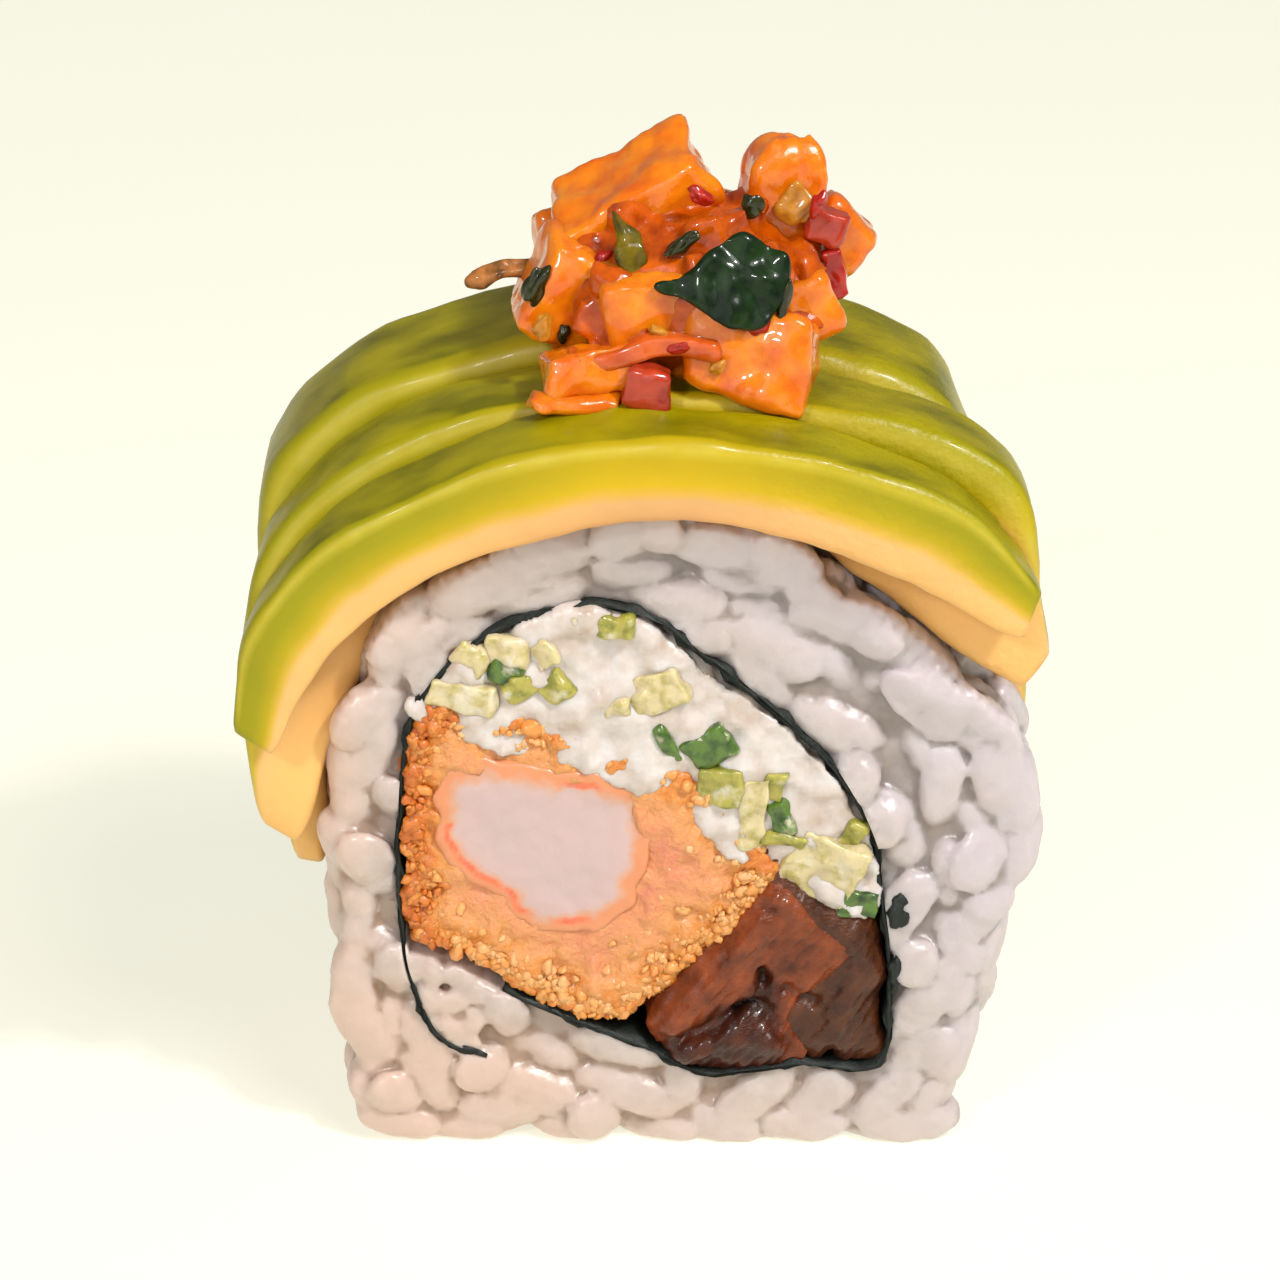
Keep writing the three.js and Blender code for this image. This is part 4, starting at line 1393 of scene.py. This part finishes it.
@dataclass
class AvocadoSlice:
    """One slice of avocado laid over the rice as an arch."""

    name: str
    rim: tuple[Pair, ...]
    bed: tuple[Pair, ...]
    front: Pair
    back: Pair
    seed: float
    pale_left: float
    pale_right: float
    rise: float = 0.11
    steps: int = 110
    facets: int = 44

    def build(self, material: bpy.types.Material) -> None:
        """Builds the slice.

        Args:
            material: the finish that all slices share.
        """
        rim, bed = SmoothLine(self.rim), SmoothLine(self.bed)
        bm = bmesh.new()
        bmesh.ops.create_cone(bm, cap_ends=True, segments=self.facets, radius1=1.0, radius2=1.0, depth=1.0)
        runs = [edge for edge in bm.edges if abs(edge.verts[0].co.z - edge.verts[1].co.z) > 0.5]
        bmesh.ops.subdivide_edges(bm, edges=runs, cuts=self.steps)
        ends = [face for face in bm.faces if len(face.verts) > 4]
        for _ in range(4):
            bmesh.ops.inset_region(bm, faces=ends, thickness=0.2, use_even_offset=True)
        heights, edges, flanks = [], [], []

        def rule(co: Vector) -> Vector:
            """Bends the straight rod into the arch."""
            along = clamp(0.5 - co.z)
            outer, inner = rim.at(along), bed.at(along)
            flank = (2 * along - 1) ** 2
            front = self.front[0] + (self.front[1] - self.front[0]) * flank
            back = self.back[0] + (self.back[1] - self.back[0]) * flank
            radius = math.hypot(co.x, co.y)
            x, y = (co.x / radius, co.y / radius) if radius > 1e-6 else (0.0, 0.0)
            tip = (1 - 0.24 * flank ** 9) * min(1.0, radius)
            height = 0.5 + 0.5 * soften(x, 6) * tip
            depth = 0.5 + 0.5 * soften(y, 9) * tip
            place = inner.lerp(outer, height)
            lift = self.rise * (back - front) * depth * height * (1 - flank)
            heights.append(height)
            edges.append(abs(2 * depth - 1))
            pale = self.pale_left if along < 0.5 else self.pale_right
            flanks.append(pale * clamp((flank - 0.3) / 0.6))
            swell = noise.noise(Vector((place.x, 0, place.z)) / 7 + Vector((0, self.seed, 0)))
            return Vector((place.x, front + (back - front) * depth + 0.25 * swell, place.z + lift))

        reshape(bm, rule)
        bmesh.ops.recalc_face_normals(bm, faces=bm.faces)
        roughen(bm, [(5.0, 0.35), (1.6, 0.1)], self.seed)
        mesh = mesh_of(bm, self.name)
        with_values(mesh, "height", heights)
        with_values(mesh, "side", edges)
        with_values(mesh, "flank", flanks)
        x = corners(mesh)[:, 0]
        with_values(mesh, "wet", np.clip((x - 4) / 5, 0, 1))
        # Share of painted shade towards the slices' left and right ends.
        with_values(mesh, "aside", 1 - np.exp(-((x - 1) / 11) ** 2))
        piece_from(mesh, self.name, material, [self.name])


@dataclass
class AvocadoFan:
    """Three overlapping slices of avocado."""

    slices: tuple[AvocadoSlice, ...] = (
        AvocadoSlice(
            "avocado_front",
            rim=((-27.4, 33.3), (-26.2, 39.6), (-21.8, 45.5), (-15.4, 49.3), (-8, 52.2), (-0.7, 53.2),
                 (7, 52.7), (14, 51), (20.6, 48.2), (25.2, 43)),
            bed=((-24.4, 31.1), (-22.2, 36.2), (-18.6, 40.3), (-13.5, 43.9), (-7, 46.3), (0, 47.6),
                 (6, 46.9), (12, 45.5), (18, 42.6), (23.8, 39.2)),
            front=(-15.5, -15.2), back=(-9.15, -12.35), seed=1.0, pale_left=-0.14,
            pale_right=0.05),
        AvocadoSlice(
            "avocado_middle",
            rim=((-26.6, 24.8), (-27.2, 31.2), (-26.4, 40.5), (-23.5, 45.9), (-16.8, 50.6), (-9.7, 53),
                 (-0.7, 54.1), (7, 53.8), (13.5, 52.8), (20.2, 50.9), (24.6, 47.2), (26.4, 37.4)),
            bed=((-23.3, 22.9), (-21.4, 29), (-19, 34.8), (-16.2, 40.1), (-11, 43.9), (-5.5, 46.3),
                 (0, 47.7), (4.5, 47), (8.6, 45.5), (13.2, 42), (18.4, 37.9), (24.3, 33.9)),
            front=(-8.85, -12.05), back=(-2.15, -4.4), seed=2.0, pale_left=0.62,
            pale_right=0.62),
        AvocadoSlice(
            "avocado_back",
            rim=((-25, 17.8), (-26.2, 26), (-26.8, 36), (-26, 45.2), (-20.2, 51.2), (-10, 55),
                 (-0.7, 55.9), (7, 55.4), (13.5, 54), (19.4, 51.4), (22.2, 46), (25, 38), (26.2, 29.4)),
            bed=((-22.6, 17.4), (-22.2, 24), (-20.4, 33), (-16.8, 40.4), (-11, 44.1), (-5.5, 46.5),
                 (0, 47.9), (4.5, 47.2), (8.8, 45.7), (13.2, 42.2), (18.2, 38), (21.2, 34),
                 (23.6, 27.8)),
            front=(-1.85, -4.1), back=(9.6, 8.4), seed=3.0, pale_left=0.5, pale_right=0.5),
    )

    def finish(self) -> bpy.types.Material:
        """Ripe flesh: green towards the skin, pale yellow towards the stone, with darker patches; a darker
        green towards the slices' ends is painted shade, and a pale line along each slice's top edge is a
        painted highlight.
        """
        graph = Graph("avocado_flesh")
        height, flank = graph.attribute("height"), graph.attribute("flank")
        wave = graph.wander(4.0, 2.0, 0.14)
        level = graph.math("ADD", graph.math("SUBTRACT", height, flank), wave)
        cut = graph.ramp(level, [
            (0.0, srgb(214, 156, 98)), (0.3, srgb(210, 162, 104)), (0.41, srgb(212, 166, 60)),
            (0.5, srgb(204, 168, 6)), (0.7, srgb(190, 160, 0)), (1.0, srgb(178, 152, 0))])
        # Towards the slices' ends: a darker green, which is painted shade, and a lighter pale yellow.
        flanks = graph.ramp(level, [
            (0.0, srgb(228, 177, 104)), (0.3, srgb(225, 177, 110)), (0.4, srgb(202, 165, 52)),
            (0.5, srgb(176, 154, 6)), (0.7, srgb(150, 142, 0)), (1.0, srgb(142, 136, 0))])
        # Mixes in the painted side shade.
        cut = graph.mix(graph.attribute("aside"), cut, flanks)
        patch = graph.ramp(graph.noise(3.6, 3.0, (0.5, 1.0, 1.0)), [
            (0.3, srgb(104, 100, 0)), (0.46, srgb(134, 126, 0)), (0.66, srgb(158, 146, 0))])
        top = graph.math("MULTIPLY", graph.math("SUBTRACT", graph.attribute("side"), 0.8), -12.0, True)
        upper = graph.fade(height, 0.86, 0.95)
        skin = graph.math("MULTIPLY", upper, top)
        # Painted highlight: a pale line along the rounded top edge of each slice.
        crest_highlight = graph.ramp(height, [
            (0.8, (0.0, 0.0, 0.0)), (0.9, (0.6, 0.6, 0.6)), (0.97, (0.15, 0.15, 0.15))])
        ridge_highlight = graph.math("MULTIPLY", crest_highlight, graph.fade(graph.attribute("side"), 0.78, 0.92))
        ridge_highlight_colour = graph.ramp(graph.noise(2.0), [(0.3, srgb(192, 170, 40)), (0.7, srgb(202, 184, 66))])
        graph.colour(graph.mix(ridge_highlight, graph.mix(skin, cut, patch), ridge_highlight_colour))
        fine = graph.math("MULTIPLY", graph.noise(0.6, 3.0), graph.attribute("wet"))
        graph.bump(graph.math("ADD", graph.math("MULTIPLY", graph.noise(1.2, 2.0), 0.35), fine), 0.1)
        Wetness(roughness=0.4, sink_tint=(1.0, 0.9, 0.2), coat=0.1, shine=0.25).dress(graph)
        return graph.material

    def build(self) -> None:
        """Builds the slices in one finish."""
        material = self.finish()
        for one in self.slices:
            one.build(material)


class Salad(Enum):
    """Kinds of diced piece in the salsa, with the start of their names in the frame."""

    MANGO = "mango"
    ONION = "onion"
    CHILI = "chili"
    STRIP = "salsa"


@dataclass
class Dice:
    """One diced piece: its name, middle, half sizes and turns in degrees."""

    name: str
    at: Triple
    half: Triple
    turn: Triple
    dome: bool = False
    sway: float = 0.0

    def domed(self, co: Vector, half: Sequence[float]) -> Vector:
        """Place of a point once the block's upper part is drawn in to a round top."""
        up = clamp(co.z / half[2])
        narrow = math.sqrt(1 - 0.75 * up ** 3)
        return Vector((co.x * narrow, co.y * narrow, co.z))

    def shape(self, spare: float = 0.0) -> bmesh.types.BMesh:
        """Block with soft edges and uneven faces.

        Args:
            spare: how much it is swollen on every side.

        Returns:
            The mesh, in place.
        """
        half = [size * 1.04 + spare for size in self.half]
        bm = cut_block(half, round(self.at[0] * 10 + self.at[2]), 0.26 * min(half), 0.26)
        roughen(bm, [(2.2, 0.3)], self.at[2])
        if self.dome:
            reshape(bm, lambda co: self.domed(co, half))
        if self.sway:
            reshape(bm, lambda co: co + Vector((0.0, 0.0, self.sway * math.sin(0.8 * co.x + 1))))
        return stood(bm, Matrix.Translation(self.at) @ turned(self.turn))


@dataclass
class Leaf:
    """One glazed leaf: its name, middle, outline, thickness, wave and turns in degrees."""

    name: str
    at: Triple
    outline: tuple[Pair, ...]
    thick: float
    wave: float
    turn: Triple
    dark: Colour
    light: Colour

    def build(self) -> None:
        """Builds the leaf: thin, with its own outline, folded along its midrib."""
        ring = closed_line(self.outline, 90)
        bm = remeshed(slab(ring, -self.thick / 2, self.thick / 2), 0.16, 2)
        reach = max(abs(x) for x, _ in self.outline)

        def rule(co: Vector) -> Vector:
            """Bends the leaf and gives it veins."""
            x, z = co.x / reach, co.z / reach
            wave = self.wave * (math.sin(2.6 * x) * (0.4 + 0.6 * z * z) + 0.9 * (z * z + 0.7 * x * x))
            vein = 0.12 * abs(math.sin(9 * x + 5 * abs(z))) - 0.25 * math.exp(-(z / 0.1) ** 2)
            return co + Vector((0.0, wave + 0.5 * vein, 0.0))

        reshape(bm, rule)
        roughen(bm, [(1.6, 0.45)], self.at[0])
        stood(bm, Matrix.Translation(self.at) @ turned(self.turn))
        finish = MoistFood(self.name, self.dark, self.light, blotch=1.1, roughness=0.4, sink=0.0, coat=0.3,
                           coat_roughness=0.04, shine=0.1, grain=0.9, relief=0.08)
        piece_from(mesh_of(bm, self.name), self.name, finish.material(), [self.name])


class Bit(Enum):
    """Kinds of fleck in the glaze: name, darker and lighter colour."""

    RED = ("red", srgb(130, 8, 4), srgb(186, 34, 14))
    DARK = ("dark", srgb(10, 14, 4), srgb(46, 50, 10))
    SEED = ("seed", srgb(150, 88, 8), srgb(206, 140, 40))


@dataclass(frozen=True)
class Fleck:
    """One small fleck in the glaze: its kind, middle, half sizes and its turn on the face in degrees."""

    kind: Bit
    at: Triple
    half: Triple
    turn: float

    def shape(self) -> bmesh.types.BMesh:
        """Small uneven drop, in place."""
        bm = bmesh.new()
        bmesh.ops.create_icosphere(bm, subdivisions=4, radius=1.0)
        roughen(bm, [(0.8, 0.5)], self.at[0])
        size = Matrix.Diagonal((*self.half, 1.0))
        return stood(bm, Matrix.Translation(self.at) @ turned((0, self.turn, 0)) @ size)


@dataclass
class MangoSalsa:
    """Glazed salsa heaped on the avocado."""

    seed: int = 37
    dice: tuple[Dice, ...] = (
        Dice("mango_centre", (0.3, -6.3, 59.7), (3.9, 2.3, 2.2), (10, -8, 12)),
        Dice("mango_right", (6.5, -6.9, 56.3), (4.3, 2.6, 3.0), (-12, 14, -10)),
        Dice("mango_low", (-3.9, -8.2, 55.6), (3.1, 1.9, 1.4), (-10, -8, 8)),
        Dice("mango_slab", (-4.6, -9.9, 53.9), (3.1, 1.2, 0.55), (0, 3, 6)),
        Dice("onion_pink", (-0.2, -9.7, 54.9), (1.6, 1.2, 1.4), (0, 12, 0)),
        Dice("mango_left", (-5.4, -3.6, 59.6), (2.6, 2.6, 3.3), (8, 24, 10)),
        Dice("mango_top", (-1.2, 0.2, 64.6), (5.4, 3.4, 2.1), (14, -27, 6)),
        Dice("mango_loop", (8.8, 0.4, 65.1), (2.3, 2.0, 3.6), (0, 8, 12), dome=True),
        Dice("mango_corner", (12.1, 1.2, 61.8), (2.1, 1.9, 2.1), (0, 42, 0)),
        Dice("onion_purple", (11.5, -1.6, 63.3), (1.2, 0.9, 1.2), (0, 20, 0)),
        Dice("chili_red", (12.0, -2.2, 60.2), (0.8, 0.8, 1.8), (0, -14, 0)),
        Dice("salsa_strip", (-0.2, -9.0, 57.1), (4.7, 0.85, 0.7), (0, -7, 0), sway=0.4),
        Dice("mango_side", (10.0, -3.6, 58.6), (2.1, 2.0, 2.6), (0, -20, 15)),
        Dice("mango_behind_left", (-4.2, 4.6, 60.6), (3.4, 2.5, 2.7), (-12, -16, 20)),
        Dice("mango_behind_right", (4.4, 5.2, 61.6), (3.9, 2.5, 2.5), (-20, 10, -14)),
        Dice("mango_behind_low", (9.6, 4.6, 59.4), (2.9, 2.2, 2.0), (0, 18, 25)),
    )
    flecks: tuple[Fleck, ...] = (
        Fleck(Bit.RED, (3.2, -4.9, 66.2), (0.9, 0.5, 0.5), 30),
        Fleck(Bit.RED, (7.0, -8.9, 59.0), (0.8, 0.5, 1.0), 0),
        Fleck(Bit.RED, (-3.2, -5.4, 61.9), (0.5, 0.4, 1.0), 40),
        Fleck(Bit.RED, (1.9, -9.6, 57.6), (0.9, 0.4, 0.4), -10),
        Fleck(Bit.RED, (10.9, -3.4, 65.2), (0.5, 0.5, 0.9), 15),
        Fleck(Bit.DARK, (2.0, -7.2, 63.6), (1.3, 0.4, 0.5), -35),
        Fleck(Bit.DARK, (8.5, -8.6, 60.0), (0.4, 0.4, 1.6), 12),
        Fleck(Bit.DARK, (-7.4, -6.4, 60.6), (0.7, 0.5, 1.4), 25),
        Fleck(Bit.DARK, (6.5, -4.6, 65.4), (0.7, 0.4, 0.8), -20),
        Fleck(Bit.DARK, (-5.6, -5.8, 57.2), (0.4, 0.3, 0.6), 0),
        Fleck(Bit.SEED, (9.5, -2.1, 64.6), (1.15, 0.6, 1.35), 8),
        Fleck(Bit.SEED, (-6.9, -7.0, 58.0), (0.6, 0.5, 0.9), 10),
        Fleck(Bit.SEED, (0.6, -8.9, 58.3), (0.7, 0.4, 0.4), 25),
        Fleck(Bit.SEED, (4.3, -9.7, 56.2), (0.4, 0.3, 0.6), 40),
    )
    leaves: tuple[Leaf, ...] = (
        Leaf("leaf_dark", (5.2, -8.9, 61.6), (
            (-5.0, 0.2), (-2.7, -1.2), (-1.2, -2.4), (0.8, -3.1), (2.3, -2.6), (3.5, -0.9), (3.7, 1.0),
            (2.7, 2.3), (1.0, 2.9), (-0.7, 2.5), (-2.2, 1.1)), 0.7, 0.5, (-22, -4, 4), srgb(0, 12, 6),
             srgb(26, 50, 14)),
        Leaf("leaf_olive", (-1.3, -6.6, 63.2), (
            (-1.2, 2.5), (-0.3, 1.5), (0.7, 0.9), (1.0, -0.4), (0.8, -1.6), (0.1, -2.0), (-0.8, -0.9),
            (-1.1, 0.8)), 0.6, 0.2, (-20, 0, 0), srgb(52, 48, 4), srgb(124, 104, 14)),
        Leaf("leaf_curl", (-9.0, -2.4, 60.3), (
            (-3.2, -0.1), (-2.0, 0.8), (0.0, 0.9), (2.6, 0.7), (3.2, -0.2), (1.6, -0.7), (-0.6, -0.3),
            (-2.2, -0.7)), 0.6, 0.7, (-30, -8, 10), srgb(22, 26, 6), srgb(190, 120, 62)),
    )
    heap_at: Triple = (2.2, -1.4, 59.0)
    heap_half: Triple = (8.8, 7.0, 5.6)
    heap_bottom: float = 50.5
    fine_dice: int = 46
    glaze: float = 0.4

    def finish(self, kind: Salad) -> MoistFood:
        """Finish of a kind of diced piece."""
        colours = {
            Salad.MANGO: (srgb(206, 84, 0), srgb(238, 140, 10)),
            Salad.ONION: (srgb(118, 14, 10), srgb(190, 62, 28)),
            Salad.CHILI: (srgb(120, 6, 4), srgb(176, 26, 14)),
            Salad.STRIP: (srgb(180, 64, 8), srgb(218, 104, 30)),
        }
        dark, light = colours[kind]
        return MoistFood(f"salsa_{kind.value}", dark, light, blotch=2.0, roughness=0.3, sink=0.45,
                         sink_depth=1.4, sink_tint=(1.0, 0.42, 0.06), coat=0.9, coat_roughness=0.03,
                         shine=0.2, grain=0.8, relief=0.1)

    def build_heap(self) -> None:
        """Builds what lies between the larger pieces: fine dice drawn together by the glaze."""
        draws = random.Random(self.seed)
        bm = bmesh.new()
        core = Matrix.Translation(self.heap_at) @ Matrix.Diagonal((*self.heap_half, 1.0))
        bmesh.ops.create_uvsphere(bm, u_segments=24, v_segments=16, radius=1.0, matrix=core)
        for _ in range(self.fine_dice):
            turn, lift = draws.uniform(0, 2 * math.pi), draws.uniform(-0.5, 0.9)
            spread = math.sqrt(1 - lift * lift)
            sphere = Vector((spread * math.cos(turn), spread * math.sin(turn), lift))
            at = Vector(c + h * s for c, h, s in zip(self.heap_at, self.heap_half, sphere))
            size = Matrix.Diagonal((*(draws.uniform(1.4, 3.2) for _ in range(3)), 1.0))
            turn_all = turned([draws.uniform(0, 180) for _ in range(3)])
            bmesh.ops.create_cube(bm, size=1.0, matrix=Matrix.Translation(at) @ turn_all @ size)
        for one in self.dice:
            absorb(bm, mesh_of(one.shape(-self.glaze), "dice"))
        bmesh.ops.bisect_plane(bm, geom=[*bm.verts, *bm.edges, *bm.faces], plane_co=(0, 0, self.heap_bottom),
                               plane_no=(0, 0, 1), clear_inner=False)
        bm = roughen(remeshed(bm, 0.32, 4), [(1.2, 0.25)], 2.0)
        finish = MoistFood("salsa_glaze", srgb(140, 42, 0), srgb(214, 96, 4), blotch=1.6, roughness=0.25,
                           sink=0.2, sink_depth=1.0, sink_tint=(1.0, 0.35, 0.04), coat=0.7,
                           coat_roughness=0.03, shine=0.1, grain=0.8, relief=0.1)
        piece_from(mesh_of(bm, "salsa_heap"), "salsa_heap", finish.material(), ["salsa"])

    def build_flecks(self) -> None:
        """Builds the chili, herb and seed flecks that the glaze holds, one piece for each kind."""
        for kind in Bit:
            label, dark, light = kind.value
            name = f"{label}_flecks"
            joined = bmesh.new()
            for fleck in self.flecks:
                if fleck.kind is kind:
                    absorb(joined, mesh_of(fleck.shape(), "fleck"))
            finish = MoistFood(f"fleck_{label}", dark, light, blotch=0.8, roughness=0.3, sink=0.2,
                               coat=0.6, coat_roughness=0.04, shine=0.2, grain=0.5)
            piece_from(mesh_of(joined, name), name, finish.material())

    def build(self) -> None:
        """Builds the heap, the diced pieces, the flecks and the leaves."""
        self.build_heap()
        self.build_flecks()
        materials = {kind: self.finish(kind).material() for kind in Salad}
        for one in self.dice:
            kind = Salad(one.name.split("_")[0])
            piece_from(mesh_of(one.shape(), one.name), one.name, materials[kind], [one.name])
        for leaf in self.leaves:
            leaf.build()


@dataclass
class Studio:
    """Pale floor, soft light from the upper right, and a camera at the photograph's angle.

    Each sun has its name, the way towards it, its strength and its width in degrees. Each lamp has its
    name, its place in metres and its power in watts.
    """

    elevation: float = 23.0
    distance: float = 250.0
    aim: Triple = (-0.66, 0.0, 33.1)
    focal_pixels: float = 3621.0
    frame_pixels: float = 1280.0
    sensor: float = 36.0
    floor_size: float = 4.0
    floor_colours: tuple[Colour, Colour] = ((0.47, 0.47, 0.4), (0.475, 0.475, 0.405))
    floor_glow: float = 0.64
    room_light: float = 0.22
    suns: tuple[tuple[str, Triple, float, float], ...] = (
        ("key", (0.58, -0.72, 1.0), 1.0, 20),
        ("fill", (-0.3, -1.0, 0.35), 0.74, 60),
    )
    lamps: tuple[tuple[str, Triple, float], ...] = (
        ("glint_right", (0.16, -0.16, 0.3), 0.7),
        ("glint_left", (-0.12, -0.26, 0.22), 0.3),
    )
    lamp_size: float = 0.03
    lit_point: Vector = field(default_factory=lambda: Vector((0, 0, 0.04)))

    def build_floor(self) -> None:
        """Lays the floor, which glows faintly so that the shadow on it stays light."""
        bm = bmesh.new()
        bmesh.ops.create_grid(bm, x_segments=1, y_segments=1, size=self.floor_size / 2)
        graph = Graph("pale_floor")
        graph.colour(graph.ramp(graph.noise(40.0), list(zip((0.3, 0.7), self.floor_colours))))
        graph.set(roughness=0.9, specular_ior_level=0.1, emission_color=(1.0, 0.985, 0.83, 1.0),
                  emission_strength=self.floor_glow)
        mesh = mesh_of(bm, "floor")
        mesh.materials.append(graph.material)
        floor = added("floor", mesh)

    def build_lamp(self, name: str, place: Vector, power: float) -> None:
        """Hangs one square lamp.

        Args:
            name: its name.
            place: where it hangs, in metres.
            power: its power in watts.
        """
        lamp = bpy.data.lights.new(name, "AREA")
        lamp.energy = power
        lamp.size = self.lamp_size
        stand = added(name, lamp)
        stand.location = place
        stand.rotation_euler = (place - self.lit_point).to_track_quat("Z", "Y").to_euler()

    def build_sun(self, name: str, toward: Vector, energy: float, spread: float) -> None:
        """Adds one far light.

        Args:
            name: its name.
            toward: direction from the roll towards it.
            energy: its strength.
            spread: how wide it is, in degrees.
        """
        sun = bpy.data.lights.new(name, "SUN")
        sun.energy = energy
        sun.angle = math.radians(spread)
        sun.color = (1.0, 0.985, 0.96)
        added(name, sun).rotation_euler = toward.to_track_quat("Z", "Y").to_euler()

    def build_lights(self) -> None:
        """Sets the light of the room, a wide soft key and small lamps that glint on what is wet."""
        world = bpy.data.worlds.new("studio")
        world.use_nodes = True
        background = world.node_tree.nodes["Background"]
        background.inputs["Color"].default_value = (1.0, 0.99, 0.97, 1.0)
        background.inputs["Strength"].default_value = self.room_light
        bpy.context.scene.world = world
        for name, toward, energy, spread in self.suns:
            self.build_sun(name, Vector(toward), energy, spread)
        for name, place, power in self.lamps:
            self.build_lamp(name, Vector(place), power)

    def build_camera(self) -> None:
        """Places the camera."""
        camera = bpy.data.cameras.new("camera")
        camera.sensor_width = self.sensor
        camera.lens = self.focal_pixels / self.frame_pixels * self.sensor
        camera.clip_start = 0.01
        camera.clip_end = 10.0
        holder = added("camera", camera)
        tilt = math.radians(self.elevation)
        back = Vector((0.0, -math.cos(tilt), math.sin(tilt)))
        holder.location = (Vector(self.aim) + MIDDLE + back * self.distance) * MM
        holder.rotation_euler = back.to_track_quat("Z", "Y").to_euler()
        bpy.context.scene.camera = holder

    def build(self) -> None:
        """Builds the floor, the lights and the camera."""
        bpy.context.scene.view_settings.view_transform = "Standard"
        self.build_camera()
        self.build_floor()
        self.build_lights()


def main() -> None:
    """Builds the studio and then the roll, from the rice outwards."""
    logging.basicConfig(level=logging.INFO, format="%(name)s: %(message)s")
    noise.seed_set(NOISE_SEED)
    Studio().build()
    nori = NoriSheet()
    RiceRoll().build(nori)
    nori.build()
    FriedPrawn().build()
    CreamCheese().build()
    BraisedMushroom().build()
    AvocadoFan().build()
    MangoSalsa().build()


if __name__ == "__main__":
    main()
